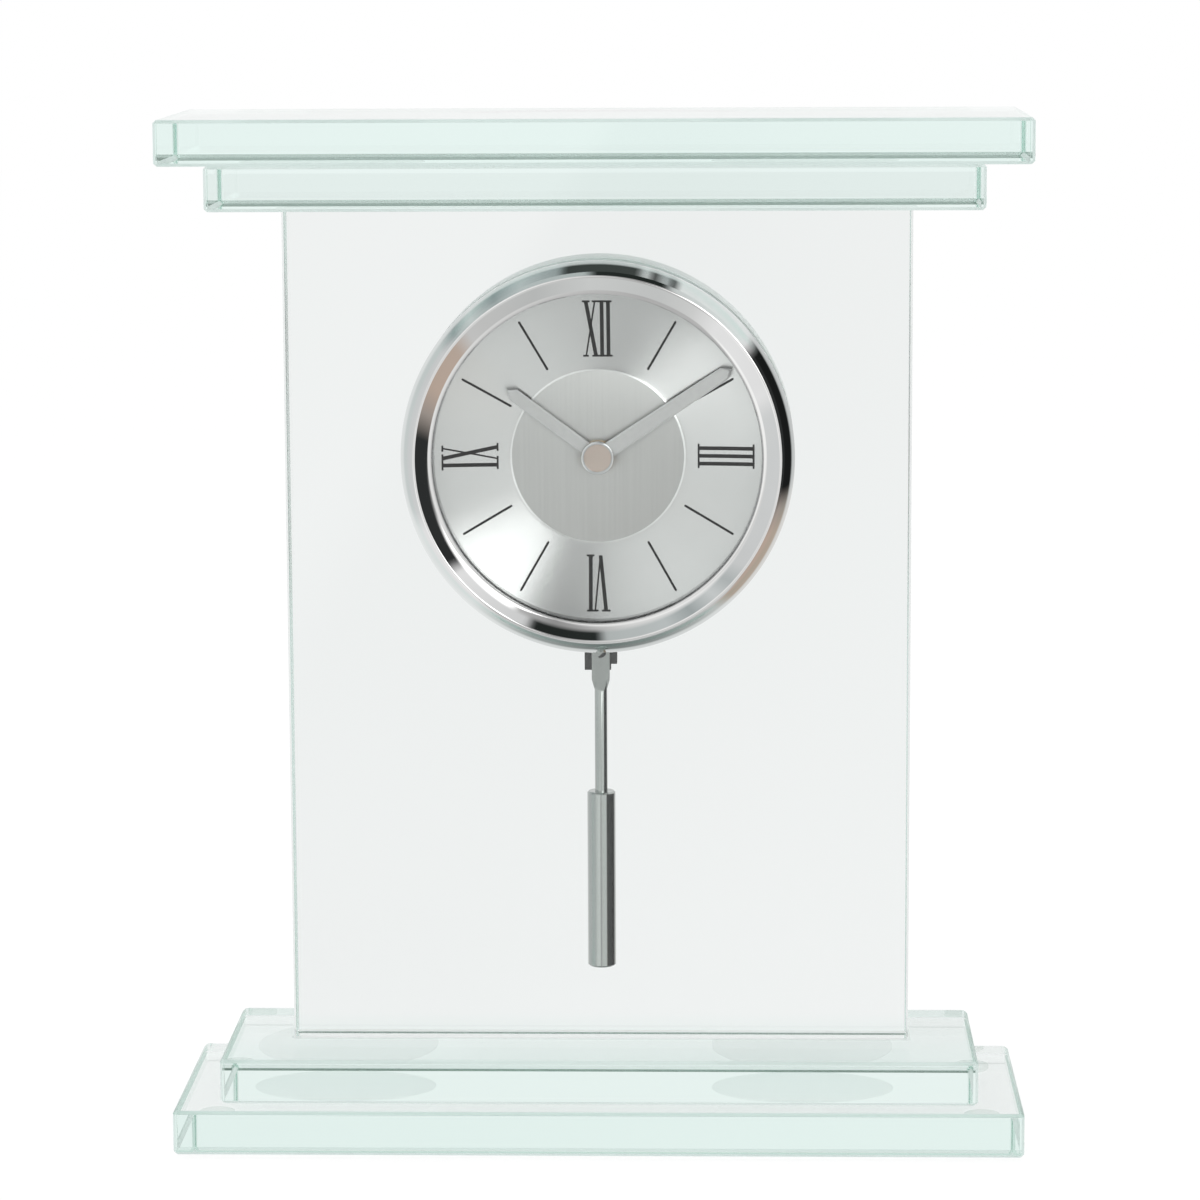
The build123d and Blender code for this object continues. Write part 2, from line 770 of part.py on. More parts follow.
# Movement rear case: cover with the open battery bay, the knob hole and the pendulum's pin boss
pivot_place = (0, -pivot_drop)
drive_place = (0, -magnet_drop)
pin_front = bridge_back + layer_gap / 2
with BuildPart() as movement_rear_case:
    with BuildSketch(dial_plane(case_joint)):
        RectangleRounded(case_size, case_size, case_corner_radius)
    extrude(amount=case_joint - case_back)
    with BuildSketch(dial_plane(case_joint)):
        RectangleRounded(case_inside, case_inside, case_corner_radius - case_wall)
    extrude(amount=case_joint - case_ceiling, mode=Mode.SUBTRACT)
    with BuildSketch(dial_plane(case_joint)):
        with Locations((0, partition_top - case_wall / 2)):
            Rectangle(case_inside, case_wall)
        for side in (-1, 1):
            with Locations((side * (bay_end + case_wall / 2), bay_middle)):
                Rectangle(case_wall, bay_height)
        RectangleRounded(mid_wall_size, mid_wall_size, mid_wall_radius, mode=Mode.INTERSECT)
    extrude(amount=case_joint - case_ceiling)
    with BuildSketch(dial_plane(case_ceiling)):
        with Locations(pivot_place):
            Circle(pivot_pin_radius + 2 * arbor_radius)
    extrude(amount=case_ceiling - pin_front)
    with BuildSketch(dial_plane(case_ceiling)):
        with Locations((0, cell_rise)):
            Rectangle(cell_length + 2 * cell_gap, 2 * (cell_radius + cell_gap))
    extrude(amount=case_ceiling - case_back, mode=Mode.SUBTRACT)
    for place, radius in (
        (pivot_place, pivot_pin_radius),
        (knob_place, knob_shaft_radius + running_clearance),
    ):
        with BuildSketch(dial_plane(pin_front)):
            with Locations(place):
                Circle(radius)
        extrude(amount=pin_front - case_back, mode=Mode.SUBTRACT)
finish(movement_rear_case.part, "movement_rear_case")


# Middle plate and train bridge: one outline, each with its own holes
def train_plate(name, front, post_hole, holes):
    """A flat plate on the three posts, with round bearing and clearance holes."""
    with BuildPart() as plate:
        with BuildSketch(dial_plane(front)):
            with Locations(*post_places, knob_place, rotor_place):
                Circle(plate_margin)
            make_hull()
            with Locations(*post_places):
                Circle(post_hole, mode=Mode.SUBTRACT)
            for place, radius in holes:
                with Locations(place):
                    Circle(radius, mode=Mode.SUBTRACT)
        extrude(amount=-plate_thickness)
    finish(plate.part, name)


pivot_hole = pivot_radius + pivot_clearance
third_leaf_tip = centre_module * (leaf_teeth / 2 + pinion_addendum)
train_plate(
    "middle_plate",
    middle_plate_front,
    post_radius - post_step + pivot_clearance,
    (
        ((0, 0), seconds_arbor_radius + running_clearance),
        (third_place, third_leaf_tip + layer_gap / 2),
        (intermediate_place, pivot_hole),
        (rotor_place, pivot_hole),
        (knob_place, knob_shaft_radius + layer_gap),
    ),
)
train_plate(
    "train_bridge",
    bridge_front,
    post_radius - 2 * post_step + pivot_clearance,
    (
        ((0, 0), pivot_hole),
        (third_place, pivot_hole),
        (intermediate_place, pivot_hole),
        (rotor_place, pivot_hole),
        (knob_place, knob_shaft_radius + layer_gap),
    ),
)


def turned(place, radius, front, back):
    """Adds a round length of arbor, pipe or hub to the part that is open."""
    with BuildSketch(dial_plane(front)) as outline:
        with Locations(place):
            Circle(radius)
    extrude(outline.sketch, amount=front - back)


def bored(place, radius, front, back):
    """Cuts a round bore out of the part that is open."""
    with BuildSketch(dial_plane(front)) as outline:
        with Locations(place):
            Circle(radius)
    extrude(outline.sketch, amount=front - back, mode=Mode.SUBTRACT)


# Motion work: hour wheel, cannon pinion and motion wheel
with BuildPart() as hour_wheel:
    with BuildSketch(dial_plane(hour_layer)):
        wheel_outline(hour_wheel_teeth, hour_module, 0)
    extrude(amount=-motion_width)
    turned((0, 0), hour_pipe_radius, hour_hand_front, hour_layer)
    bored((0, 0), minute_pipe_radius + running_clearance, hour_hand_front, hour_layer + motion_width)
finish(hour_wheel.part, "hour_wheel")

cannon_seat_radius = minute_pipe_radius - running_clearance
cannon_back = middle_plate_front - running_clearance
with BuildPart() as cannon_pinion:
    turned((0, 0), minute_pipe_radius, pipe_front, motion_layer - pinion_extra)
    with BuildSketch(dial_plane(motion_layer - pinion_extra)):
        pinion_outline(cannon_teeth, motion_module, 0)
    extrude(amount=-motion_width - 2 * pinion_extra)
    turned((0, 0), cannon_seat_radius, motion_layer + motion_width + pinion_extra, cannon_back)
    bored((0, 0), seconds_arbor_radius + running_clearance, pipe_front, cannon_back)
finish(cannon_pinion.part, "cannon_pinion")

with BuildPart() as motion_wheel:
    with BuildSketch(dial_plane(motion_layer)):
        with Locations(motion_place):
            wheel_outline(motion_wheel_teeth, motion_module, motion_wheel_phase)
    extrude(amount=-motion_width)
    with BuildSketch(dial_plane(hour_layer - pinion_extra)):
        with Locations(motion_place):
            pinion_outline(motion_pinion_teeth, hour_module, motion_pinion_phase)
    extrude(amount=hour_layer - pinion_extra - motion_layer)
    bored(motion_place, arbor_radius + running_clearance, hour_layer - pinion_extra, centre_layer)
finish(motion_wheel.part, "motion_wheel")

# Running train: centre, third, seconds and intermediate wheels, and the rotor
with BuildPart() as centre_wheel:
    with BuildSketch(dial_plane(centre_layer)):
        wheel_outline(centre_wheel_teeth, centre_module, 0)
        wheel_windows(centre_wheel_teeth, centre_module, cannon_seat_radius)
    extrude(amount=-wheel_width)
    bored((0, 0), cannon_seat_radius + pivot_clearance, centre_layer, middle_plate_front)
finish(centre_wheel.part, "centre_wheel")


def train_arbor(name, place, wheel, pinion, pivot_front, shoulder_front, shoulder_back):
    """An arbor between its pivots, with a wheel and a pinion; each is (teeth, module, phase, layer)."""
    wheel_teeth, wheel_module, wheel_phase, wheel_layer = wheel
    leaf_count, leaf_module, leaf_phase, leaf_layer = pinion
    with BuildPart() as arbor:
        turned(place, pivot_radius, pivot_front, bridge_back - pivot_clearance)
        turned(place, arbor_radius, shoulder_front, shoulder_back)
        with BuildSketch(dial_plane(wheel_layer)):
            with Locations(place):
                wheel_outline(wheel_teeth, wheel_module, wheel_phase)
                wheel_windows(wheel_teeth, wheel_module, arbor_radius)
        extrude(amount=-wheel_width)
        with BuildSketch(dial_plane(leaf_layer - pinion_extra)):
            with Locations(place):
                pinion_outline(leaf_count, leaf_module, leaf_phase)
        extrude(amount=-wheel_width - 2 * pinion_extra)
    finish(arbor.part, name)


shoulder_back = bridge_front - pivot_clearance
train_arbor(
    "third_wheel",
    third_place,
    (third_wheel_teeth, third_module, third_wheel_phase, third_layer),
    (leaf_teeth, centre_module, third_pinion_phase, centre_layer),
    third_boss_back - 2 * plate_thickness,
    centre_layer - pinion_extra,
    shoulder_back,
)
train_arbor(
    "intermediate_wheel",
    intermediate_place,
    (intermediate_wheel_teeth, intermediate_module, 0, intermediate_layer),
    (leaf_teeth, seconds_module, intermediate_pinion_phase, seconds_layer),
    middle_plate_front + pivot_clearance,
    middle_plate_back + pivot_clearance,
    shoulder_back,
)

seconds_front = pipe_front + running_clearance
with BuildPart() as seconds_wheel:
    turned((0, 0), seconds_arbor_radius, seconds_front, middle_plate_back + pivot_clearance)
    turned((0, 0), pivot_radius, middle_plate_back, bridge_back - pivot_clearance)
    turned((0, 0), arbor_radius, middle_plate_back, shoulder_back)
    with BuildSketch(dial_plane(seconds_layer)):
        wheel_outline(seconds_wheel_teeth, seconds_module, 0)
        wheel_windows(seconds_wheel_teeth, seconds_module, arbor_radius)
    extrude(amount=-wheel_width)
    with BuildSketch(dial_plane(third_layer - pinion_extra)):
        pinion_outline(leaf_teeth, third_module, 0)
    extrude(amount=-wheel_width - 2 * pinion_extra)
finish(seconds_wheel.part, "seconds_wheel")

with BuildPart() as rotor:
    turned(rotor_place, pivot_radius, middle_plate_front + pivot_clearance, bridge_back - pivot_clearance)
    turned(rotor_place, arbor_radius, middle_plate_back + pivot_clearance, shoulder_back)
    turned(rotor_place, rotor_radius, rotor_front, rotor_front + rotor_thickness)
    with BuildSketch(dial_plane(intermediate_layer - pinion_extra)):
        with Locations(rotor_place):
            pinion_outline(leaf_teeth, intermediate_module, rotor_pinion_phase)
    extrude(amount=-wheel_width - 2 * pinion_extra)
finish(rotor.part, "rotor")

# Stator: soft iron plate round the rotor, its two arms reaching down to the coil's core
core_half = coil_length / 2 + coil_flange + coil_gap + stator_arm_width
arm_reach = core_half - stator_arm_width / 2
yoke_rise = rotor_place[1] - stator_head_radius / 2
arm_foot = -coil_drop - stator_arm_width / 2
with BuildPart() as stator:
    with BuildSketch(dial_plane(stator_front)):
        with Locations(rotor_place):
            Circle(stator_head_radius)
        with Locations((coil_middle, yoke_rise)):
            Rectangle(2 * core_half, stator_arm_width)
        for side in (-1, 1):
            with Locations((coil_middle + side * arm_reach, (yoke_rise + arm_foot) / 2)):
                Rectangle(stator_arm_width, yoke_rise - arm_foot)
        with Locations(rotor_place):
            Circle(rotor_radius + rotor_air_gap, mode=Mode.SUBTRACT)
    extrude(amount=-stator_thickness)
finish(stator.part, "stator")

# Motor coil: winding and flanges on a flat core that lies on the stator's arm ends
core_depth = stator_front - stator_thickness / 2
coil_plane = Plane(
    origin=(coil_middle, core_depth, dial_height - coil_drop), x_dir=(0, 0, 1), z_dir=(1, 0, 0)
)
with BuildPart() as motor_coil:
    with BuildSketch(coil_plane.offset(-coil_length / 2)):
        Circle(coil_radius)
    extrude(amount=coil_length)
    for start in (-coil_length / 2 - coil_flange, coil_length / 2):
        with BuildSketch(coil_plane.offset(start)):
            Circle(coil_radius + coil_flange_rise)
        extrude(amount=coil_flange)
    with BuildSketch(coil_plane.offset(-core_half)):
        Rectangle(stator_arm_width, stator_thickness)
    extrude(amount=2 * core_half)
finish(motor_coil.part, "motor_coil")

# Circuit board with its potted chip and clock crystal
board_middle = (board_left + board_width / 2, board_bottom + board_height / 2)
with BuildPart() as circuit_board:
    with BuildSketch(dial_plane(bridge_front)):
        with Locations(board_middle):
            Rectangle(board_width, board_height)
    extrude(amount=-board_thickness)
    with BuildSketch(dial_plane(bridge_front)):
        with Locations(board_middle):
            Circle(chip_radius)
    extrude(amount=crystal_radius)
    crystal_left = board_middle[0] - crystal_length / 2
    crystal_height = dial_height + board_middle[1] + 2 * chip_radius - crystal_radius
    crystal_plane = Plane(
        origin=(crystal_left, bridge_front, crystal_height), x_dir=(0, 1, 0), z_dir=(1, 0, 0)
    )
    with BuildSketch(crystal_plane):
        Circle(crystal_radius)
    extrude(amount=crystal_length)
finish(circuit_board.part, "circuit_board")

# Cell, lying across the top of the movement
with BuildPart() as battery_cell:
    with BuildSketch(cell_plane):
        Circle(cell_radius)
    extrude(amount=cell_length - cell_nub_length)
    with BuildSketch(cell_plane.offset(cell_length - cell_nub_length)):
        Circle(cell_nub_radius)
    extrude(amount=cell_nub_length)
finish(battery_cell.part, "battery_cell")


def leaf_contact(name, side):
    """A bowed spring leaf between the case's end wall and the cell."""
    wall_x = side * bay_end
    near_x = side * cell_length / 2
    skin = side * contact_thickness
    half_span = contact_span / 2
    with BuildPart() as leaf:
        with BuildSketch(Plane.XY.offset(dial_height + cell_rise - contact_width / 2)):
            with BuildLine():
                front_y = cell_depth - half_span
                back_y = cell_depth + half_span
                ThreePointArc((wall_x, front_y), (near_x + skin, cell_depth), (wall_x, back_y))
                Line((wall_x, back_y), (wall_x - skin, back_y))
                ThreePointArc((wall_x - skin, back_y), (near_x, cell_depth), (wall_x - skin, front_y))
                Line((wall_x - skin, front_y), (wall_x, front_y))
            make_face()
        extrude(amount=contact_width)
    finish(leaf.part, name)


leaf_contact("contact_positive", 1)
leaf_contact("contact_negative", -1)

# Setting knob: fluted head outside the movement, shaft, and the pinion that turns the motion wheel
knob_back = drum_back + knob_proud
knob_front = knob_back - knob_length
with BuildPart() as setting_knob:
    turned(knob_place, knob_pivot_radius, case_floor + pivot_clearance, motion_layer)
    with BuildSketch(dial_plane(motion_layer - pinion_extra)):
        with Locations(knob_place):
            pinion_outline(cannon_teeth, motion_module, knob_phase)
    extrude(amount=-motion_width - 2 * pinion_extra)
    turned(knob_place, knob_shaft_radius, motion_layer + motion_width + pinion_extra, knob_front)
    with BuildSketch(dial_plane(knob_front)):
        with Locations(knob_place):
            Circle(knob_radius)
            with PolarLocations(knob_radius, knob_flutes):
                Circle(knob_flute_radius, mode=Mode.SUBTRACT)
    extrude(amount=-knob_length)
finish(setting_knob.part, "setting_knob")

# Pendulum drive coil, held against the rear case's wall
with BuildPart() as drive_coil:
    with BuildSketch(dial_plane(case_ceiling - drive_coil_length)):
        with Locations(drive_place):
            Circle(drive_coil_radius)
            Circle(drive_coil_bore, mode=Mode.SUBTRACT)
    extrude(amount=-drive_coil_length)
finish(drive_coil.part, "drive_coil")

# Pivot pin and its push-on clip
with BuildPart() as pivot_pin:
    turned(pivot_place, pivot_pin_radius, pin_front, drum_inside - pivot_clearance)
finish(pivot_pin.part, "pivot_pin")

with BuildPart() as pivot_clip:
    turned(pivot_place, clip_radius, clip_front, clip_front + clip_thickness)
    bored(pivot_place, pivot_pin_radius, clip_front, clip_front + clip_thickness)
finish(pivot_clip.part, "pivot_clip")

# Pendulum arm: pivot boss, magnet pocket, slim web through the drum's slot, and the hanger block
with BuildPart() as pendulum_arm:
    with BuildSketch(dial_plane(arm_front)):
        with Locations(pivot_place):
            Circle(arm_boss_radius)
        with Locations(drive_place):
            Circle(magnet_radius + magnet_rim)
        with Locations((0, -(pivot_drop + hanger_top) / 2)):
            Rectangle(arm_web_width, hanger_top - pivot_drop)
        with Locations((0, -(hanger_top + hanger_bottom) / 2)):
            Rectangle(hanger_width, hanger_bottom - hanger_top)
        with Locations((hanger_width / 2 - hanger_notch / 2, -hanger_bottom + hanger_notch / 2)):
            Rectangle(hanger_notch, hanger_notch, mode=Mode.SUBTRACT)
    extrude(amount=-arm_thickness)
    bored(pivot_place, pivot_pin_radius + pivot_hole_clearance, arm_front, arm_back)
    bored(drive_place, magnet_radius, arm_front, arm_front + magnet_thickness)
    turned((0, -peg_drop), peg_radius, arm_front - tongue_thickness - peg_head_thickness, arm_front)
    turned(
        (0, -peg_drop),
        peg_head_radius,
        arm_front - tongue_thickness - peg_head_thickness,
        arm_front - tongue_thickness,
    )
finish(pendulum_arm.part, "pendulum_arm")

with BuildPart() as pendulum_magnet:
    turned(drive_place, magnet_radius, arm_front, arm_front + magnet_thickness)
finish(pendulum_magnet.part, "pendulum_magnet")

# Pendulum rod: round wire, pressed flat at the top into a wider tongue that hangs on the arm's peg
tongue_front = arm_front - tongue_thickness
rod_bottom = bob_top + bob_socket
rod_plane = Plane(origin=(0, rod_depth, dial_height - rod_bottom), x_dir=(1, 0, 0), z_dir=(0, 0, 1))
side_plane = Plane(origin=(0, rod_depth, dial_height), x_dir=(0, 1, 0), z_dir=(1, 0, 0))
press_depth = rod_radius - tongue_thickness / 2
with BuildPart() as pendulum_rod:
    with BuildSketch(rod_plane):
        Circle(rod_radius)
    extrude(amount=rod_bottom - peg_drop)
    for face in (-1, 1):
        with BuildSketch(side_plane):
            Polygon(
                (face * tongue_thickness / 2, -peg_drop),
                (face * tongue_thickness / 2, -tongue_shoulder),
                (face * (rod_radius + press_depth / 2), -tongue_tip - press_depth),
                (face * 2 * rod_radius, -tongue_tip - press_depth),
                (face * 2 * rod_radius, -peg_drop),
                align=None,
            )
        extrude(amount=rod_radius, both=True, mode=Mode.SUBTRACT)
    with BuildSketch(dial_plane(tongue_front)):
        with Locations((0, -peg_drop)):
            Circle(tongue_width / 2)
        Polygon(
            (-tongue_width / 2, -peg_drop),
            (-tongue_width / 2, -tongue_shoulder),
            (-rod_radius, -(tongue_shoulder + tongue_tip) / 2),
            (rod_radius, -(tongue_shoulder + tongue_tip) / 2),
            (tongue_width / 2, -tongue_shoulder),
            (tongue_width / 2, -peg_drop),
            align=None,
        )
    extrude(amount=-tongue_thickness)
    bored((0, -peg_drop), peg_radius, tongue_front, arm_front)
finish(pendulum_rod.part, "pendulum_rod")

# Cylinder bob with a socket for the rod's end
bob_plane = Plane(origin=(0, rod_depth, dial_height - bob_top), x_dir=(1, 0, 0), z_dir=(0, 0, -1))
with BuildPart() as pendulum_bob:
    with BuildSketch(bob_plane):
        Circle(bob_radius)
    extrude(amount=bob_length)
    chamfer(pendulum_bob.faces().filter_by(Axis.Z).edges(), bob_chamfer)
    with BuildSketch(bob_plane):
        Circle(rod_radius + bob_fit)
    extrude(amount=bob_socket, mode=Mode.SUBTRACT)
finish(pendulum_bob.part, "pendulum_bob")

# Drum: cup behind the panel, with screw pillars, battery opening, knob hole and pendulum slot
door_half = door_width / 2
door_pivot = door_bottom + door_thickness / 2
opening_bottom = door_bottom - door_gap
opening_top = door_bottom + door_height + door_gap
swing_reach = drum_radius - pivot_drop
slot_half = arm_web_width / 2 + swing_reach * sin(radians(swing_angle)) + 2 * layer_gap
slot_front = arm_front - arm_gap
slot_back = drum_inside
hinge_depth = (drum_inside + drum_back) / 2
with BuildPart() as rear_drum:
    with BuildSketch(dial_plane(drum_front)):
        Circle(drum_radius)
    extrude(amount=drum_front - drum_back)
    chamfer(rear_drum.faces().sort_by(Axis.Y)[-1].edges(), drum_chamfer)
    bored((0, 0), drum_radius - drum_wall, drum_front, drum_inside)
    for place in screw_places:
        turned(place, pillar_radius, drum_front, drum_inside)
        bored(place, screw_radius + screw_clearance, drum_front, drum_back)
        bored(place, screw_head_radius + screw_clearance, drum_back - screw_head_height, drum_back)
    bored(knob_place, knob_radius + knob_gap, drum_inside, drum_back)
    with BuildSketch(dial_plane(drum_inside)):
        with Locations((0, (opening_bottom + opening_top) / 2)):
            Rectangle(door_width + 2 * door_gap, opening_top - opening_bottom)
    extrude(amount=-drum_wall, mode=Mode.SUBTRACT)
    with BuildSketch(dial_plane(slot_front)):
        with Locations((0, -drum_radius)):
            Rectangle(2 * slot_half, drum_radius / 2)
    extrude(amount=slot_front - slot_back, mode=Mode.SUBTRACT)
    hinge_line = Plane(
        origin=(-door_half - door_pin_length - door_gap, hinge_depth, dial_height + door_pivot),
        x_dir=(0, 1, 0),
        z_dir=(1, 0, 0),
    )
    with BuildSketch(hinge_line):
        Circle(door_pin_radius + pivot_clearance)
    extrude(amount=door_width + 2 * (door_pin_length + door_gap), mode=Mode.SUBTRACT)
finish(rear_drum.part, "rear_drum")

# Three clamp screws: one node
screw_tip = boss_back - screw_boss_length + 2 * case_wall
with BuildPart() as clamp_screws:
    for place in screw_places:
        turned(place, screw_head_radius, drum_back - screw_head_height, drum_back)
        turned(place, screw_radius, screw_tip, drum_back - screw_head_height)
        with BuildSketch(dial_plane(drum_back)):
            with Locations(place):
                Rectangle(2 * screw_drive, screw_drive / 2)
                Rectangle(screw_drive / 2, 2 * screw_drive)
        extrude(amount=screw_drive, mode=Mode.SUBTRACT)
finish(clamp_screws.part, "clamp_screws")

# Battery door: flush plate that swings out about two pins at its lower edge
with BuildPart() as battery_door:
    door_plane = Plane(
        origin=(-door_half, hinge_depth, dial_height + door_pivot), x_dir=(0, 1, 0), z_dir=(1, 0, 0)
    )
    with BuildSketch(door_plane):
        Circle(door_thickness / 2)
        with Locations((0, (door_height - door_thickness / 2) / 2)):
            Rectangle(door_thickness, door_height - door_thickness / 2)
    extrude(amount=door_width)
    with BuildSketch(door_plane.offset(-door_pin_length)):
        Circle(door_pin_radius)
    extrude(amount=door_width + 2 * door_pin_length)
    with BuildSketch(dial_plane(drum_back)):
        with Locations((0, door_bottom + door_height)):
            Circle(door_notch_radius)
    extrude(amount=door_thickness / 2, mode=Mode.SUBTRACT)
finish(battery_door.part, "battery_door")
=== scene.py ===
"""Desk pendulum clock: glass case, chrome insert, spun dial and pendulum, dressed round its solids."""
from math import atan2, cos, hypot, pi, radians, sin

import bpy
from mathutils import Matrix, Vector


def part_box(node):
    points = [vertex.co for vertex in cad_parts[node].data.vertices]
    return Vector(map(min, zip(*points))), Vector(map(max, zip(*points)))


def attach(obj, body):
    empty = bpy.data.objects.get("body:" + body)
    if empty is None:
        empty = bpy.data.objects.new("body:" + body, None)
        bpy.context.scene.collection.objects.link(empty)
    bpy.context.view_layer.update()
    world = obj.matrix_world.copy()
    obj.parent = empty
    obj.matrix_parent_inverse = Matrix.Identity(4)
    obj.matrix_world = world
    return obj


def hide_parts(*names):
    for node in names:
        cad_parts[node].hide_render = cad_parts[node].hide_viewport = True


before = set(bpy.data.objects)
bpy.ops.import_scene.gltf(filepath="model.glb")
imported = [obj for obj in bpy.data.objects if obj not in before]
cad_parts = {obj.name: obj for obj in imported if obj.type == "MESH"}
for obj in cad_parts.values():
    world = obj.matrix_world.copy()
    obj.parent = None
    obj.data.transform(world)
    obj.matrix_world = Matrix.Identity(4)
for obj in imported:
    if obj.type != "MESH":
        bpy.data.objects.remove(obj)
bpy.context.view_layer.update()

bl_info = {
    "name": "Desk pendulum clock",
    "version": (1, 0, 0),
    "blender": (4, 5, 0),
    "location": "View3D > Sidebar > Clock",
    "description": "Builds the glass case, the dial insert and the pendulum of a desk clock",
    "category": "Object",
}

MM = 0.001
CASE = "case"
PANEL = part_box("glass_panel")
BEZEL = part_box("bezel")
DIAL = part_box("dial_plate")
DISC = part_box("centre_disc")
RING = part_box("dial_spacer_ring")
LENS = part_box("lens")
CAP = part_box("hand_cap")
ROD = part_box("pendulum_rod")
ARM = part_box("pendulum_arm")
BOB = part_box("pendulum_bob")
ARBOR = Vector((0, 0, (BEZEL[0][2] + BEZEL[1][2]) / 2))
GASKET_GAP = 0.3 * MM
BEZEL_FRONT = BEZEL[0][1]
BEZEL_BACK = PANEL[0][1] - GASKET_GAP
MERGE_WITHIN = 0.002 * MM


def radius_of(box):
    """The radius of a round piece, from its box."""
    return (box[1][0] - box[0][0]) / 2


# Settings


def srgb(code):
    """A hex colour as linear red, green, blue and alpha."""
    channels = [int(code[i : i + 2], 16) / 255 for i in (0, 2, 4)]
    linear = [c / 12.92 if c <= 0.04045 else ((c + 0.055) / 1.055) ** 2.4 for c in channels]
    return (*linear, 1.0)


def length(name, description, millimetres):
    """A size shown in the sidebar."""
    size = millimetres * MM
    return bpy.props.FloatProperty(name=name, description=description, default=size, unit="LENGTH")


def finish_colour(name, description, code):
    """A colour shown in the sidebar, from its hex code."""
    return bpy.props.FloatVectorProperty(
        name=name, description=description, default=srgb(code), size=4, min=0.0, max=1.0, subtype="COLOR"
    )


class ClockGlassSettings(bpy.types.PropertyGroup):
    """Colour and clearness of the float glass."""

    tint: finish_colour("Glass tint", "What the glass lets through best", "27DCC1")
    density: bpy.props.FloatProperty(
        name="Tint density", description="Light taken up per metre of glass, in the red", default=3.2
    )
    ior: bpy.props.FloatProperty(name="IOR", description="Refractive index of float glass", default=1.52)
    arris_roughness: bpy.props.FloatProperty(
        name="Arris roughness", description="Dullness of the ground arrises", default=0.42, subtype="FACTOR"
    )


class ClockBezelSettings(bpy.types.PropertyGroup):
    """Section and colour of the chrome bezel."""

    chrome: finish_colour("Chrome", "Colour of the plating", "E6E6E6")
    rim_height: length("Rim height", "How far the bezel stands off the gasket before its slope starts", 1.1)
    ridge_inset: length("Ridge inset", "How far the ridge lies inside the rim", 3.2)
    ridge_width: length("Ridge width", "Width of the rounded ridge", 0.8)
    mouth_inset: length("Mouth inset", "How far the end of the inner slope lies inside the rim", 6.3)
    seat_width: length("Seat width", "Width of the flat seat around the lens", 0.8)
    wall: length("Wall", "Thickness of the rim's wall", 1.2)


class ClockDialSettings(bpy.types.PropertyGroup):
    """Sizes and colours of the dial, and of what is printed on it."""

    dial_colour: finish_colour("Dial", "Colour of the spun dial", "DCDCDB")
    disc_colour: finish_colour("Centre disc", "Colour of the brushed disc", "CFCFCD")
    ink_colour: finish_colour("Ink", "Colour of the numerals and the hour bars", "121212")
    flat_radius: length("Flat radius", "Radius of the flat middle of the dial", 20.2)
    sheet: length("Sheet", "Thickness of the dial's sheet", 0.6)
    chamfer: length("Disc chamfer", "Width of the chamfer around the centre disc", 0.42)
    numeral_inner: length("Numeral foot", "Distance of the numerals' feet from the arbor", 22.3)
    numeral_outer: length("Numeral head", "Distance of the numerals' heads from the arbor", 35.0)
    bar_width: length("Bar width", "Width of the hour bars", 0.52)
    thick_stroke: length("Thick stroke", "Width of a numeral's thick strokes", 0.84)
    thin_stroke: length("Thin stroke", "Width of a numeral's thin strokes", 0.36)
    serif: length("Serif", "Thickness of the bars across a numeral's ends", 0.42)


class ClockHandSettings(bpy.types.PropertyGroup):
    """Colours of the hands and section of the cap over their arbor."""

    face_colour: finish_colour("Hand faces", "Colour of the hands' flat faces", "CACAC9")
    bevel_colour: finish_colour("Hand bevels", "Colour of the hands' blasted bevels", "D2D2D1")
    # The cap's colour is partly nickel and partly a painted reflection of a warm room.
    cap_tint_and_reflection: finish_colour("Cap", "Colour of the nickel cap", "D6C8BE")
    cap_rim: length("Cap rim", "Width of the cap's polished rim", 0.65)
    cap_recess: length("Cap recess", "Depth of the cap's face below its rim", 0.35)


class ClockPendulumSettings(bpy.types.PropertyGroup):
    """Finishes of the pendulum and the edges of its bob."""

    wire_colour: finish_colour("Rod", "Colour of the plated wire", "B8BBB9")
    bob_colour: finish_colour("Bob", "Colour of the turned bob", "B6B9B7")
    arm_colour: finish_colour("Arm", "Colour of the moulded arm", "262626")
    bob_edge: length("Bob edge", "Width of the broken edges of the bob", 0.35)
    bob_bore: length("Bob bore", "Radius of the bore that takes the rod", 1.45)
    bob_bore_depth: length("Bob bore depth", "Depth of the bore that takes the rod", 10.0)


class ClockDrumSettings(bpy.types.PropertyGroup):
    """Colours of the drum behind the panel and of its knob."""

    drum_colour: finish_colour("Drum", "Colour of the drum and its door", "E2E4E3")
    knob_colour: finish_colour("Knob", "Colour of the setting knob", "1E1E1E")


class ClockStudioSettings(bpy.types.PropertyGroup):
    """Light, floor and camera."""

    key_power: bpy.props.FloatProperty(
        name="Key light", description="Power of the key light", default=3.0, unit="POWER"
    )
    fill_power: bpy.props.FloatProperty(
        name="Fill light", description="Power of the fill light", default=1.5, unit="POWER"
    )
    ambient: bpy.props.FloatProperty(name="Ambient", description="Strength of the even light", default=0.75)
    paper: finish_colour("Floor", "Colour of the paper floor", "F4F4F4")
    lens: bpy.props.FloatProperty(name="Lens", description="Focal length", default=127.09, unit="CAMERA")
    camera_place: bpy.props.FloatVectorProperty(
        name="Camera place",
        description="Where the camera stands",
        default=(0.02936, -0.94377, 0.26970),
        unit="LENGTH",
    )
    camera_turn: bpy.props.FloatVectorProperty(
        name="Camera turn",
        description="Yaw, pitch down and roll of the camera",
        default=[radians(angle) for angle in (-1.769, 8.891, -0.268)],
        unit="ROTATION",
    )


# Materials

# A Mix node for colours takes them at these two sockets.
FIRST, SECOND = 6, 7


def new_material(name):
    """A material with an empty node tree, and that tree."""
    material = bpy.data.materials.new(name)
    material.use_nodes = True
    material.node_tree.nodes.clear()
    return material, material.node_tree


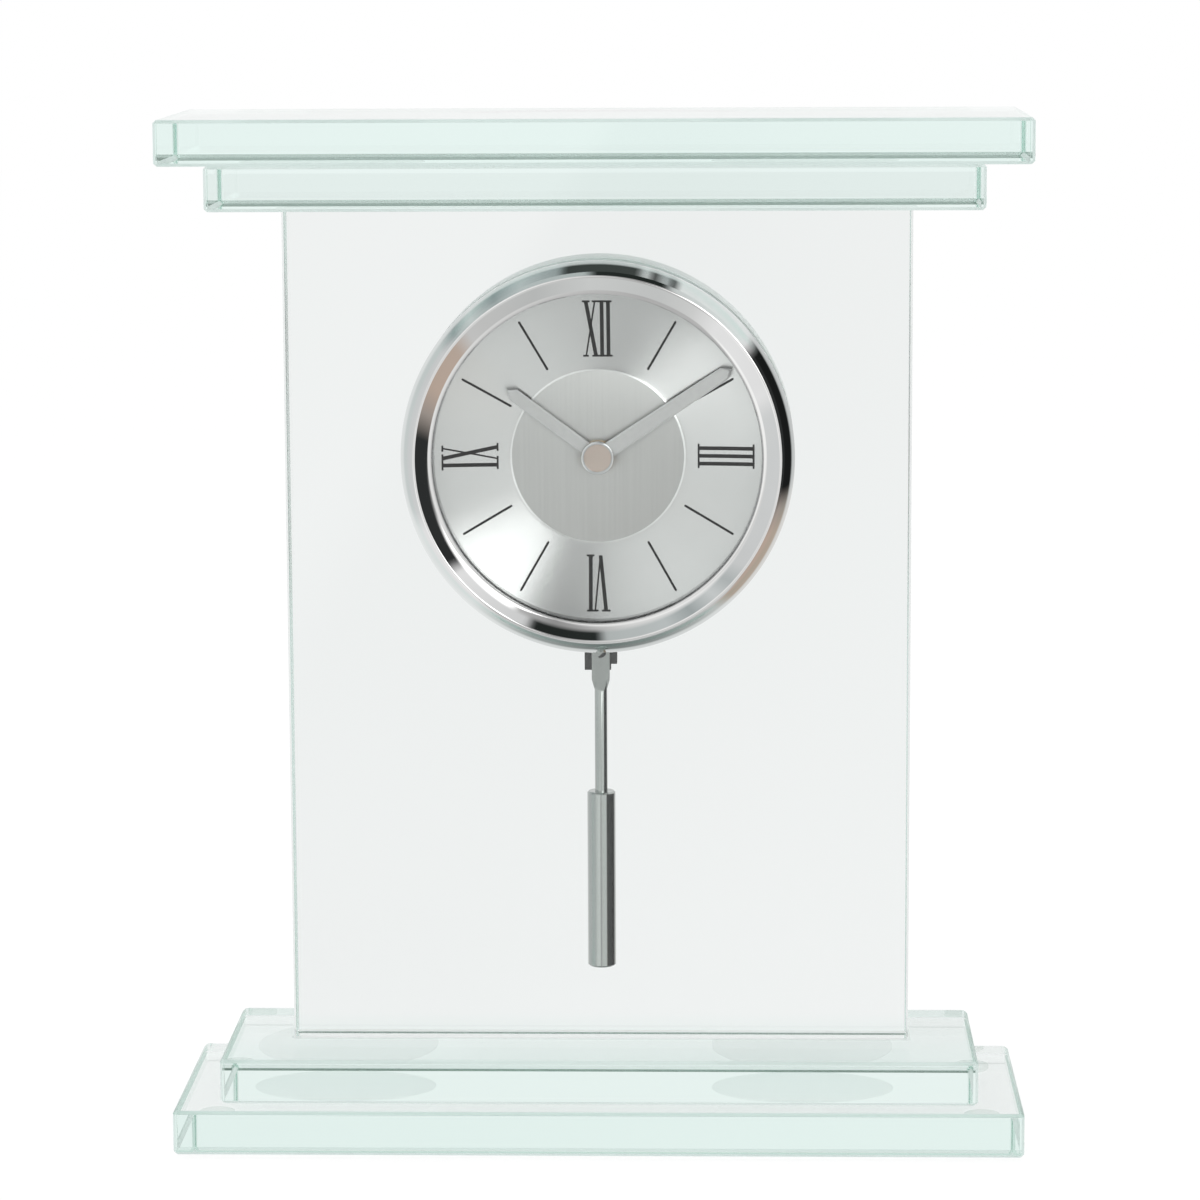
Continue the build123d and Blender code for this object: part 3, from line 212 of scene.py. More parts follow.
def add_node(tree, kind, inputs=None, stops=(), **settings):
    """Adds a node: an input given a node or a socket is linked, any other is set, and stops fill a ramp."""
    node = tree.nodes.new("ShaderNode" + kind)
    for name, value in settings.items():
        setattr(node, name, value)
    for key, value in (inputs or {}).items():
        if isinstance(value, bpy.types.Node):
            value = next(output for output in value.outputs if output.enabled)
        if isinstance(value, bpy.types.NodeSocket):
            tree.links.new(value, node.inputs[key])
        else:
            node.inputs[key].default_value = value
    if stops:
        points = node.color_ramp.elements
        while len(points) < len(stops):
            points.new(0.5)
        for point, (place, colour) in zip(points, stops):
            point.position = place
            point.color = srgb(colour) if isinstance(colour, str) else (colour, colour, colour, 1)
    return node


def grain(tree, size, stretch=(1, 1, 1)):
    """Noise on object coordinates, with features of a size in millimetres, squeezed by the stretch."""
    place = add_node(tree, "TexCoord").outputs["Object"]
    mapping = add_node(tree, "Mapping", {"Vector": place, "Scale": stretch})
    return add_node(tree, "TexNoise", {"Vector": mapping, "Scale": 1 / (size * MM), "Detail": 3.0})


def solid_material(
    name, colour, metallic, roughness, size=2.5, stretch=(1, 1, 1), wear=0.05, height=0.01, brushed=0.0
):
    """A solid finish whose grain shades it, varies its roughness by the wear and lifts it by the height.

    Size and height are in millimetres. Most real grains are too fine to show, so they are drawn coarser,
    up to a few millimetres wide. Brushed is how far upright brushing draws the highlights out sideways.
    """
    material, tree = new_material(name)
    noise = grain(tree, size, stretch)
    rough = {"Value": noise, "To Min": max(roughness - wear, 0.0), "To Max": roughness + wear}
    dim = (*(channel * 0.86 for channel in colour[:3]), 1.0)
    shade = {"Factor": noise, FIRST: dim, SECOND: colour}
    bump = {"Height": noise, "Strength": 0.15, "Distance": height * MM}
    surface = {
        "Base Color": add_node(tree, "Mix", shade, data_type="RGBA"),
        "Roughness": add_node(tree, "MapRange", rough),
        "Normal": add_node(tree, "Bump", bump),
        "Metallic": metallic,
    }
    if brushed:
        surface["Anisotropic"] = brushed
        surface["Tangent"] = add_node(tree, "CombineXYZ", {"X": 1.0})
    add_node(tree, "OutputMaterial", {"Surface": add_node(tree, "BsdfPrincipled", surface)})
    return material


def float_glass():
    """Float glass: clear through polished faces, greener the deeper one looks, with dull ground arrises."""
    settings = bpy.context.scene.clock_glass
    material, tree = new_material("Float glass, polished with ground arrises")

    # Only an arris faces none of the three main directions.
    normal = add_node(tree, "NewGeometry").outputs["True Normal"]
    facing = add_node(tree, "SeparateXYZ", {"Vector": normal}).outputs
    parts = [add_node(tree, "Math", {0: facing[axis]}, operation="ABSOLUTE") for axis in "XYZ"]
    largest = add_node(tree, "Math", {0: parts[0], 1: parts[1]}, operation="MAXIMUM")
    largest = add_node(tree, "Math", {0: largest, 1: parts[2]}, operation="MAXIMUM")
    sloped = add_node(tree, "Math", {0: largest, 1: 0.9}, operation="LESS_THAN")
    ground = add_node(tree, "Math", {0: sloped, 1: settings.arris_roughness}, operation="MULTIPLY")
    white = (1, 1, 1, 1)
    body = add_node(
        tree,
        "BsdfPrincipled",
        {"Base Color": white, "Roughness": ground, "IOR": settings.ior, "Transmission Weight": 1.0},
    )

    # Polished metal looks straight through the slabs, so that the room it mirrors isn't broken up.
    ray = add_node(tree, "LightPath").outputs
    crossings = add_node(tree, "Math", {0: ray["Transmission Depth"], 1: 2.0}, operation="MODULO")
    outside = add_node(tree, "Math", {0: crossings, 1: 0.5}, operation="LESS_THAN")
    mirrored = add_node(tree, "Math", {0: outside, 1: ray["Is Glossy Ray"]}, operation="MULTIPLY")
    unseen = add_node(tree, "BsdfTransparent", {"Color": white})
    surface = add_node(tree, "MixShader", {0: mirrored, 1: body, 2: unseen})

    # A ray caught between the faces is let out before its bounces end, which would leave the ends black.
    trapped = add_node(tree, "Math", {0: ray["Glossy Depth"], 1: 2.5}, operation="GREATER_THAN")
    deep = add_node(tree, "BsdfTransparent", {"Color": srgb("DDE9E4")})
    surface = add_node(tree, "MixShader", {0: trapped, 1: surface, 2: deep})

    # Light that falls through a slab keeps its way and turns a little green.
    tinted = add_node(tree, "BsdfTransparent", {"Color": srgb("FAFDFC")})
    surface = add_node(tree, "MixShader", {0: ray["Is Shadow Ray"], 1: surface, 2: tinted})
    depth = add_node(tree, "VolumeAbsorption", {"Color": settings.tint, "Density": settings.density})
    add_node(tree, "OutputMaterial", {"Surface": surface, "Volume": depth})
    return material


def outer_fresnel(tree, ior):
    """How much a clear piece mirrors where air meets it; a face seen from inside mirrors nothing."""
    inner = add_node(tree, "NewGeometry").outputs["Backfacing"]
    outer = add_node(tree, "Math", {0: 1.0, 1: inner}, operation="SUBTRACT")
    fresnel = add_node(tree, "Fresnel", {"IOR": ior})
    return add_node(tree, "Math", {0: fresnel, 1: outer}, operation="MULTIPLY")


def lens_glass():
    """Thin polished mineral glass: the dial shows unbent, under a faint mirror of the room."""
    material, tree = new_material("Flat mineral glass")
    clear = add_node(tree, "BsdfTransparent", {"Color": srgb("FDFEFE")})
    gloss = add_node(tree, "BsdfGlossy", {"Color": (1, 1, 1, 1), "Roughness": 0.0})
    surface = add_node(tree, "MixShader", {0: outer_fresnel(tree, 1.45), 1: clear, 2: gloss})
    shadow = add_node(tree, "LightPath").outputs["Is Shadow Ray"]
    surface = add_node(tree, "MixShader", {0: shadow, 1: surface, 2: clear})
    add_node(tree, "OutputMaterial", {"Surface": surface})
    return material


def adhesive_film():
    """Cured adhesive film: clear when looked through steeply, and a pale milky green at a glancing view."""
    material, tree = new_material("Cured clear adhesive film")
    glance = add_node(tree, "LayerWeight", {"Blend": 0.5}).outputs["Facing"]
    slant = {"Value": glance, "From Min": 0.35, "From Max": 0.75, "To Max": 0.24}
    milky = add_node(tree, "MapRange", slant)
    uneven = add_node(tree, "MapRange", {"Value": grain(tree, 1.43), "To Min": 0.92, "To Max": 1.0})
    haze = add_node(tree, "Math", {0: milky, 1: uneven}, operation="MULTIPLY")
    milk = add_node(tree, "BsdfDiffuse", {"Color": srgb("E9F3F0")})
    glow = add_node(tree, "BsdfTranslucent", {"Color": srgb("EAF4F1")})
    cloudy = add_node(tree, "MixShader", {0: 0.5, 1: milk, 2: glow})
    clear = add_node(tree, "BsdfTransparent", {"Color": (1, 1, 1, 1)})
    surface = add_node(tree, "MixShader", {0: haze, 1: clear, 2: cloudy})
    add_node(tree, "OutputMaterial", {"Surface": surface})
    return material


def bumper_material():
    """Clear cast polyurethane: nearly unseen under the glass, with a soft sheen where the air meets it."""
    material, tree = new_material("Clear polyurethane bumper")
    clear = add_node(tree, "BsdfTransparent", {"Color": srgb("F2F6F4")})
    uneven = add_node(tree, "MapRange", {"Value": grain(tree, 1.67), "To Min": 0.25, "To Max": 0.4})
    sheen = add_node(tree, "BsdfGlossy", {"Color": srgb("F4F6F5"), "Roughness": uneven})
    surface = add_node(tree, "MixShader", {0: outer_fresnel(tree, 1.49), 1: clear, 2: sheen})
    add_node(tree, "OutputMaterial", {"Surface": surface})
    return material


def spun_aluminium(colour, roughness):
    """Spun aluminium: fine circular grooves about the arbor spread its highlights along each radius."""
    material, tree = new_material("Spun aluminium dial")
    place = add_node(tree, "TexCoord").outputs["Object"]
    centred = add_node(tree, "Mapping", {"Vector": place, "Location": (0, 0, -ARBOR.z)})
    parts = add_node(tree, "SeparateXYZ", {"Vector": centred}).outputs
    flat = add_node(tree, "CombineXYZ", {"X": parts["X"], "Z": parts["Z"]})
    radius = add_node(tree, "VectorMath", {0: flat}, operation="LENGTH")
    pitch = 0.111 * MM
    rings = {"W": radius, "Scale": 1 / pitch, "Detail": 2.0}
    groove = add_node(tree, "TexNoise", rings, noise_dimensions="1D")
    wear = 0.02
    rough = {"Value": groove, "To Min": roughness - wear, "To Max": roughness + wear}
    surface = {
        "Base Color": colour,
        "Metallic": 1.0,
        "Roughness": add_node(tree, "MapRange", rough),
        "Anisotropic": 1.0,
        "Anisotropic Rotation": 0.25,
        "Normal": add_node(tree, "Bump", {"Height": groove, "Strength": 0.2, "Distance": 0.01 * MM}),
        "Tangent": add_node(tree, "Tangent", direction_type="RADIAL", axis="Y"),
    }
    add_node(tree, "OutputMaterial", {"Surface": add_node(tree, "BsdfPrincipled", surface)})
    return material


# Shaping


def select_only(*objects):
    """Selects just these objects; the first is the active one."""
    bpy.ops.object.select_all(action="DESELECT")
    for piece in objects:
        piece.select_set(True)
    bpy.context.view_layer.objects.active = objects[0]


def settle(piece, material, body, nodes):
    """Gives a finished piece its material, its body and the nodes that it stands for."""
    piece.data.materials.clear()
    piece.data.materials.append(material)
    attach(piece, body)
    if nodes:
        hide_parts(*nodes)


def paint(node, material):
    """Gives a solid of the frame its material."""
    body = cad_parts[node]
    body.data.materials.clear()
    body.data.materials.append(material)


def second_finish(piece, material, chosen):
    """Gives a settled piece's chosen faces another material."""
    piece.data.materials.append(material)
    for face in piece.data.polygons:
        face.material_index = int(chosen(face))


def reach(face, centre=ARBOR):
    """How far a face's middle lies from the arbor, or from another point, as seen from the front."""
    return hypot(face.center.x - centre.x, face.center.z - centre.z)


def arc(start, middle, end, steps):
    """Points of a shallow arc through three points, from start to end."""
    points = []
    for step in range(steps + 1):
        t = step / steps
        weights = ((1 - t) * (1 - 2 * t), 4 * t * (1 - t), t * (2 * t - 1))
        points.append(tuple(sum(w * p[i] for w, p in zip(weights, (start, middle, end))) for i in (0, 1)))
    return points


def lathe(name, section, steps, upright_at=None, sharp=30):
    """Spins a closed section of (radius, depth) points about the arbor.

    With a place for an upright axis the points are (radius, height), and are spun about that.
    """
    centre = upright_at or ARBOR
    bpy.ops.mesh.primitive_circle_add(vertices=len(section), radius=1.0, calc_uvs=False)
    piece = bpy.context.object
    piece.name = name
    for vertex, (radius, place) in zip(piece.data.vertices, section):
        depth, height = (centre.y, place) if upright_at else (place, centre.z)
        vertex.co = (centre.x + radius, depth, height)
    select_only(piece)
    bpy.ops.object.mode_set(mode="EDIT")
    bpy.ops.mesh.select_all(action="SELECT")
    axis = (0, 0, 1) if upright_at else (0, 1, 0)
    bpy.ops.mesh.spin(steps=steps, angle=2 * pi, center=tuple(centre), axis=axis)
    bpy.ops.mesh.select_all(action="SELECT")
    bpy.ops.mesh.remove_doubles(threshold=MERGE_WITHIN)
    bpy.ops.mesh.normals_make_consistent(inside=False)
    bpy.ops.object.mode_set(mode="OBJECT")
    bpy.ops.object.shade_smooth_by_angle(angle=radians(sharp))
    return piece


def dressed(node, name, sharp=30):
    """A merged, smooth-shaded copy of a solid."""
    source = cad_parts[node]
    piece = source.copy()
    piece.data = source.data.copy()
    piece.name = name
    piece.parent = None
    bpy.context.scene.collection.objects.link(piece)
    piece.matrix_world = Matrix.Identity(4)
    select_only(piece)
    bpy.ops.mesh.customdata_custom_splitnormals_clear()
    bpy.ops.object.mode_set(mode="EDIT")
    bpy.ops.mesh.select_all(action="SELECT")
    bpy.ops.mesh.remove_doubles(threshold=MERGE_WITHIN)
    bpy.ops.object.mode_set(mode="OBJECT")
    frame_flats(piece)
    bpy.ops.object.shade_smooth_by_angle(angle=radians(sharp), keep_sharp_edges=True)
    return piece


def frame_flats(piece):
    """Marks the rims of flat faces sharp, so that rounded corners beside them don't bend their shading."""
    bpy.ops.object.mode_set(mode="EDIT")
    bpy.ops.mesh.select_mode(type="FACE")
    bpy.ops.mesh.select_all(action="DESELECT")
    bpy.ops.object.mode_set(mode="OBJECT")
    for face in piece.data.polygons:
        face.select = max(abs(part) for part in face.normal) > 0.9999
    bpy.ops.object.mode_set(mode="EDIT")
    bpy.ops.mesh.region_to_loop()
    bpy.ops.mesh.mark_sharp()
    bpy.ops.mesh.select_mode(type="VERT")
    bpy.ops.object.mode_set(mode="OBJECT")


def scale_height(piece, factor, **pivot):
    """Scales a piece's mesh in height, about its middle or a given pivot."""
    select_only(piece)
    bpy.ops.object.mode_set(mode="EDIT")
    bpy.ops.mesh.select_all(action="SELECT")
    bpy.ops.transform.resize(value=(1, 1, factor), **pivot)
    bpy.ops.object.mode_set(mode="OBJECT")


class ClockGlassCase(bpy.types.Operator):
    """Dresses the slabs, the panel, the adhesive films and the feet"""

    bl_idname = "clock.glass_case"
    bl_label = "Glass case"

    def execute(self, context):
        glass = float_glass()
        slabs = ("base_lower_slab", "base_upper_slab", "cornice_lower_slab", "cornice_upper_slab")
        for node in (*slabs, "glass_panel"):
            settle(dressed(node, node + "_glass"), glass, CASE, [node])

        # The films reach a little into the glass on both sides, so that no air shows between them.
        adhesive = adhesive_film()
        for node in ("base_bond_discs", "cornice_bond_discs", "panel_foot_bond", "panel_head_bond"):
            film = dressed(node, node + "_film")
            scale_height(film, 1.5)
            film.visible_glossy = False
            settle(film, adhesive, CASE, [node])

        # The feet end just below the glass, so that no two faces lie in one plane.
        feet = dressed("bumper_feet", "bumper_pads")
        scale_height(feet, 0.96, center_override=(0, 0, 0))
        settle(feet, bumper_material(), CASE, ["bumper_feet"])
        return {"FINISHED"}


class ClockBezel(bpy.types.Operator):
    """Spins the chrome bezel with its rounded ridge and its tube"""

    bl_idname = "clock.bezel"
    bl_label = "Bezel"

    def execute(self, context):
        settings = context.scene.clock_bezel
        rim = radius_of(BEZEL)
        side_front = BEZEL_BACK - settings.rim_height
        ridge = rim - settings.ridge_inset
        half_ridge = settings.ridge_width / 2
        ridge_fall = 0.12 * MM
        swell = 0.25 * MM
        slope = ((rim + ridge + half_ridge) / 2 + swell, (side_front + BEZEL_FRONT) / 2 - swell)
        section = [(rim, BEZEL_BACK)]
        section += arc((rim, side_front), slope, (ridge + half_ridge, BEZEL_FRONT + ridge_fall), 14)
        shoulder = half_ridge * 0.8
        level = BEZEL_FRONT + ridge_fall / 2
        section += arc((ridge + shoulder, level), (ridge, BEZEL_FRONT), (ridge - shoulder, level), 6)
        section += [(ridge - half_ridge, BEZEL_FRONT + ridge_fall)]

        mouth = rim - settings.mouth_inset
        seat = mouth - settings.seat_width
        seat_front = LENS[0][1] - 0.8 * MM
        bore = radius_of(LENS) + 0.2 * MM
        tube = bore + 1.4 * MM
        back = BEZEL[1][1]
        section += [(mouth + 0.05 * MM, seat_front - 0.02 * MM), (mouth, seat_front), (seat, seat_front)]
        section += [(seat, LENS[0][1]), (bore, LENS[0][1]), (bore, back), (tube, back)]

        hollow = 2.4 * MM
        side = rim - settings.wall
        section += [(tube, BEZEL_BACK - settings.wall), (ridge, BEZEL_FRONT + hollow)]
        section += [(side, side_front), (side, BEZEL_BACK)]
        ring = lathe("bezel_ring", section, 180, sharp=25)

        # Buffed before plating: a nearly sharp mirror, split into white and black by the room, and bent a
        # little by the slow waves that buffing leaves, some 17 mm long.
        chrome = solid_material(
            "Polished chrome plate", settings.chrome, 1.0, 0.035, size=16.7, wear=0.012, height=0.001
        )
        settle(ring, chrome, CASE, ["bezel"])

        # Die cut foam: a black line without a highlight. Its cells, 0.2 mm, are drawn about 0.7 mm wide.
        black = srgb("1B1B1B")
        foam = solid_material("Black foam gasket, die cut", black, 0.0, 0.85, size=0.667, height=0.05)
        for node in ("front_gasket", "rear_gasket"):
            paint(node, foam)
        return {"FINISHED"}


class ClockDial(bpy.types.Operator):
    """Spins the dial plate, the centre disc and the spacer ring, and gives the lens its glass"""

    bl_idname = "clock.dial"
    bl_label = "Dial"

    def execute(self, context):
        settings = context.scene.clock_dial
        hole = 3.0 * MM
        self.plate(settings, hole)
        self.disc(settings, hole)
        self.ring()
        paint("lens", lens_glass())

        # Moulded matt black: a dark edge behind the bezel.
        paint("mounting_ring", solid_material("Moulded black ABS ring", srgb("202020"), 0.0, 0.55))
        return {"FINISHED"}

    def plate(self, settings, hole):
        """The sheet dial: a flat middle, a shallow dish around it and a flat rim."""
        rim = radius_of(LENS)
        flat = settings.flat_radius
        dish = rim - 1.1 * MM
        front, back = DIAL[0][1], DIAL[1][1]
        sheet = settings.sheet
        middle = (dish + flat) / 2
        sag = (front + back - sheet) / 2 + 0.35 * MM
        section = [(hole, back - sheet), (flat, back - sheet)]
        section += arc((flat, back - sheet), (middle, sag), (dish, front), 16)[1:]
        section += [(rim, front), (rim, front + sheet)]
        section += arc((dish, front + sheet), (middle, sag + sheet), (flat, back), 16)
        section += [(hole, back)]
        spun = spun_aluminium(settings.dial_colour, 0.26)
        settle(lathe("dial_face", section, 180), spun, CASE, ["dial_plate"])

    def disc(self, settings, hole):
        """The brushed centre disc, with its turned chamfer."""
        radius = radius_of(DISC)
        front, back = DISC[0][1] + 0.02 * MM, DISC[1][1]
        chamfer = settings.chamfer
        rise = 0.11 * MM
        section = [(hole, back), (radius, back), (radius, front + rise)]
        section += [(radius - chamfer, front), (hole, front)]
        disc = lathe("centre_plate", section, 144)

        # Brushed upright: even grey, darker and lighter as it turns. Its scratches, 0.1 mm wide, are drawn
        # as streaks 0.6 mm wide and some 40 mm long.
        brushed = solid_material(
            "Brushed aluminium, upright grain",
            settings.disc_colour,
            1.0,
            0.4,
            stretch=(4, 1, 0.06),
            wear=0.06,
            height=0.004,
            brushed=0.85,
        )
        settle(disc, brushed, CASE, ["centre_disc"])

        # Cut on a lathe after brushing: a bright hairline around the disc.
        bright = srgb("EDEDEC")
        turned = solid_material("Turned chamfer of the disc", bright, 1.0, 0.22, size=2.0, height=0.001)
        second_finish(disc, turned, lambda face: reach(face) > radius - chamfer * 0.9)

    def ring(self):
        """The ring that holds the lens off the dial."""
        outer = radius_of(RING)
        inner = outer - 1.4 * MM
        front, back = RING[0][1], RING[1][1]
        ring = lathe("lens_ring", [(inner, front), (outer, front), (outer, back), (inner, back)], 144)

        # Turned and left satin: a soft grey that blurs the dial's edge in it.
        satin = solid_material("Turned aluminium ring, satin", srgb("C9C9C9"), 1.0, 0.25, size=2.0)
        settle(ring, satin, CASE, ["dial_spacer_ring"])


# For each numeral: how far its hour is turned from twelve, in degrees, its strokes and its serifs, both
# drawn as if at twelve. A stroke is ((across at its foot, across at its head), weight), and a serif
# (end, left, right), in millimetres from the numeral's middle.
NUMERALS = {
    "XII": (
        0,
        (
            ((-2.51, -0.57), "thin"),
            ((-0.34, -2.55), "thick"),
            ((1.03, 0.97), "thick"),
            ((2.46, 2.4), "thick"),
        ),
        (("foot", -3.25, -1.94), ("foot", -1.2, 3.42), ("head", -3.42, -1.66), ("head", -1.22, 3.25)),
    ),
    "III": (
        90,
        (((-1.74, -1.74), "thick"), ((0.0, 0.0), "thick"), ((1.74, 1.74), "thick")),
        (("foot", -2.77, 2.77), ("head", -2.77, 2.77)),
    ),
    "VI": (
        180,
        (((-0.46, -1.71), "thick"), ((-0.42, 0.73), "thin"), ((1.74, 1.74), "thick")),
        (("foot", 0.88, 2.7), ("head", -2.72, -0.72), ("head", -0.03, 2.65)),
    ),
    "IX": (
        270,
        (((-0.55, 1.9), "thin"), ((2.08, -0.38), "thick"), ((-1.95, -1.95), "thick")),
        (("foot", -2.95, 0.08), ("foot", 1.16, 2.99), ("head", -3.06, 0.59), ("head", 1.16, 2.59)),
    ),
}
BAR_HOURS = (1, 2, 4, 5, 7, 8, 10, 11)
DEGREES_PER_HOUR = 30


def stroke(start, end, width, rounding):
    """A flat stroke between two (across, out) points of the dial, at twelve, with rounded corners."""
    middle = (Vector(start) + Vector(end)) / 2
    lean = atan2(end[0] - start[0], end[1] - start[1])
    place = (middle[0], BEZEL_FRONT, ARBOR.z + middle[1])
    bpy.ops.mesh.primitive_plane_add(size=1, location=place, rotation=(pi / 2, lean, 0))
    piece = bpy.context.object
    piece.scale = (width, (Vector(end) - Vector(start)).length, 1)
    select_only(piece)
    bpy.ops.object.transform_apply(location=True, rotation=True, scale=True)
    bpy.ops.object.mode_set(mode="EDIT")
    bpy.ops.mesh.select_all(action="SELECT")
    bpy.ops.mesh.bevel(affect="VERTICES", offset=rounding, segments=5)
    bpy.ops.object.mode_set(mode="OBJECT")
    return piece


def print_on_dial(name, strokes, degrees, dial, ink):
    """Joins strokes, turns them to their hour, and lays them on the dished dial as a film of ink."""
    select_only(*strokes)
    bpy.ops.object.join()
    piece = bpy.context.object
    piece.name = name

    # Cut across into short lengths, which can follow the dish.
    bpy.ops.object.mode_set(mode="EDIT")
    settings = bpy.context.scene.clock_dial
    lengths = 10
    for cut in range(1, lengths):
        height = settings.numeral_inner + (settings.numeral_outer - settings.numeral_inner) * cut / lengths
        bpy.ops.mesh.select_all(action="SELECT")
        bpy.ops.mesh.bisect(plane_co=(0, 0, ARBOR.z + height), plane_no=(0, 0, 1))
    bpy.ops.object.mode_set(mode="OBJECT")

    turn = Matrix.Rotation(radians(degrees), 4, "Y")
    turn = Matrix.Translation(ARBOR) @ turn @ Matrix.Translation(-ARBOR)
    piece.matrix_world = turn @ piece.matrix_world
    bpy.ops.object.transform_apply(location=True, rotation=True, scale=True)
    wrap = piece.modifiers.new("Lay", "SHRINKWRAP")
    wrap.target = dial
    wrap.wrap_method = "PROJECT"
    wrap.use_project_y = True
    wrap.use_positive_direction = True
    wrap.use_negative_direction = False
    wrap.wrap_mode = "ABOVE_SURFACE"
    wrap.offset = 0.03 * MM
    bpy.ops.object.modifier_apply(modifier=wrap.name)
    film = piece.modifiers.new("Ink", "SOLIDIFY")
    film.thickness = 0.02 * MM
    film.offset = 0
    bpy.ops.object.modifier_apply(modifier=film.name)
    settle(piece, ink, CASE, [])


class ClockNumerals(bpy.types.Operator):
    """Prints the four numerals and the eight hour bars on the dial"""

    bl_idname = "clock.numerals"
    bl_label = "Numerals"

    def execute(self, context):
        settings = context.scene.clock_dial

        # Pad printed in one thin coat: dense black without a highlight.
        ink = solid_material("Black pad printing ink", settings.ink_colour, 0.0, 0.6, size=0.4)
        dial = bpy.data.objects["dial_face"]
        foot, head = settings.numeral_inner, settings.numeral_outer
        serif = settings.serif
        levels = {"foot": foot + serif / 2, "head": head - serif / 2}
        widths = {"thick": settings.thick_stroke, "thin": settings.thin_stroke}
        for numeral, (degrees, strokes, serifs) in NUMERALS.items():
            pieces = []
            for (low, high), weight in strokes:
                start, end = (low * MM, levels["foot"]), (high * MM, levels["head"])
                pieces.append(stroke(start, end, widths[weight], 0.02 * MM))
            for place, left, right in serifs:
                start, end = (left * MM, levels[place]), (right * MM, levels[place])
                pieces.append(stroke(start, end, serif, serif * 0.45))
            print_on_dial("numeral_" + numeral, pieces, degrees, dial, ink)
        for hour in BAR_HOURS:
            bar = stroke((0, foot), (0, head), settings.bar_width, settings.bar_width * 0.48)
            print_on_dial(f"hour_bar_{hour}", [bar], hour * DEGREES_PER_HOUR, dial, ink)
        return {"FINISHED"}


class ClockHands(bpy.types.Operator):
    """Dresses the hands, and spins the cap over their arbor"""

    bl_idname = "clock.hands"
    bl_label = "Hands"

    def execute(self, context):
        settings = context.scene.clock_hands

        # Stamped and brushed satin: an even pale grey that dims as the hand turns from the light.
        name, colour = "Satin aluminium hands, bevelled", settings.face_colour
        satin = solid_material(name, colour, 1.0, 0.38, size=1.11, wear=0.02, height=0.001)

        # Blasted dull, which scatters the light: the bevels stay pale from all sides.
        name, colour = "Blasted bevels of the hands", settings.bevel_colour
        blasted = solid_material(name, colour, 0.25, 0.55, size=1.11, wear=0.03, height=0.001)
        for node, body in (("hour_hand", "hour_group"), ("minute_hand", "minute_group")):
            blade = dressed(node, node + "_blade", sharp=20)
            settle(blade, satin, body, [node])
            second_finish(blade, blasted, lambda face: abs(face.normal.y) < 0.98)
        self.cap(settings)
        return {"FINISHED"}

    def cap(self, settings):
        """The cap: a sunk face inside a rounded rim."""
        radius = radius_of(CAP)
        front, back = CAP[0][1], CAP[1][1]
        face_edge = radius - settings.cap_rim
        face_front = front + settings.cap_recess
        break_edge = 0.05 * MM
        rounding = 0.2 * MM
        corner = 0.06 * MM
        crown = radius - rounding
        section = [(0.0, face_front), (face_edge, face_front), (face_edge, front + break_edge)]
        middle = radius - settings.cap_rim / 2
        section += arc((face_edge + break_edge, front), (middle, front), (crown, front), 2)
        section += arc((crown, front), (radius - corner, front + corner), (radius, front + rounding), 4)
        section += [(radius, back), (0.0, back)]
        cap = lathe("arbor_cap", section, 72)

        # Nickel plated over a satin turned face: a warm grey that mirrors the room softly. Its pinkish
        # beige is partly the nickel's own tone and partly a painted reflection of a warm room.
        colour = settings.cap_tint_and_reflection
        nickel = solid_material("Satin nickel plated cap, painted warm reflection", colour, 1.0, 0.16, size=12.5, wear=0.03)
        settle(cap, nickel, "minute_group", ["hand_cap"])

        # Buffed: a thin bright circle around the face.
        rim = solid_material("Polished rim of the cap", srgb("E6E6E6"), 1.0, 0.05, size=12.5, wear=0.02)
        second_finish(cap, rim, lambda face: reach(face) > face_edge)


class ClockPendulum(bpy.types.Operator):
    """Dresses the pendulum's arm, rod and bob"""

    bl_idname = "clock.pendulum"
    bl_label = "Pendulum"

    def execute(self, context):
        settings = context.scene.clock_pendulum
        body = "pendulum"
        along = (1, 1, 0.05)

        # Drawn and plated bright: a thin line with a highlight all down its length.
        colour = settings.wire_colour
        wire = solid_material("Bright plated wire", colour, 1.0, 0.14, size=5.0, stretch=along)
        settle(dressed("pendulum_rod", "rod_blade"), wire, body, ["pendulum_rod"])

        # Turned and polished: the room shows as upright bands, a little blurred.
        polished = solid_material(
            "Turned aluminium bob, polished", settings.bob_colour, 1.0, 0.11, size=3.33, stretch=along
        )
        settle(self.bob(settings), polished, body, ["pendulum_bob"])

        # Moulded: near black with a wide, dim sheen.
        black = solid_material("Moulded black ABS arm", settings.arm_colour, 0.0, 0.5)
        arm = dressed("pendulum_arm", "hanger_arm")
        settle(arm, black, body, ["pendulum_arm"])

        # The peg that carries the rod, in the front of the arm, is as bright as the rod.
        peg = Vector((0, 0, ROD[1][2] - 1.3 * MM))
        peg_radius = 1.4 * MM
        peg_back = ARM[0][1] + 1.1 * MM
        second_finish(arm, wire, lambda face: face.center.y < peg_back and reach(face, peg) < peg_radius)

        # Nickel plated: a pale, slightly warm metal.
        paint("pendulum_magnet", solid_material("Nickel plated magnet", srgb("BDBAB0"), 1.0, 0.2))

        # Drawn and ground: plain grey with a blurred highlight.
        steel = solid_material("Drawn steel", srgb("A8A8A6"), 1.0, 0.25, size=2.0)
        for node in ("pivot_pin", "pivot_clip"):
            paint(node, steel)
        return {"FINISHED"}

    def bob(self, settings):
        """The bob: a cylinder with broken edges and a bore from above."""
        radius = radius_of(BOB)
        low, high = BOB[0][2], BOB[1][2]
        edge = settings.bob_edge
        bore = settings.bob_bore
        bore_end = high - settings.bob_bore_depth
        section = [(0.0, low), (radius - edge, low), (radius, low + edge), (radius, high - edge)]
        section += [(radius - edge, high), (bore, high), (bore, bore_end), (0.0, bore_end)]
        return lathe("bob_cylinder", section, 72, upright_at=Vector((0, (BOB[0][1] + BOB[1][1]) / 2, 0)))


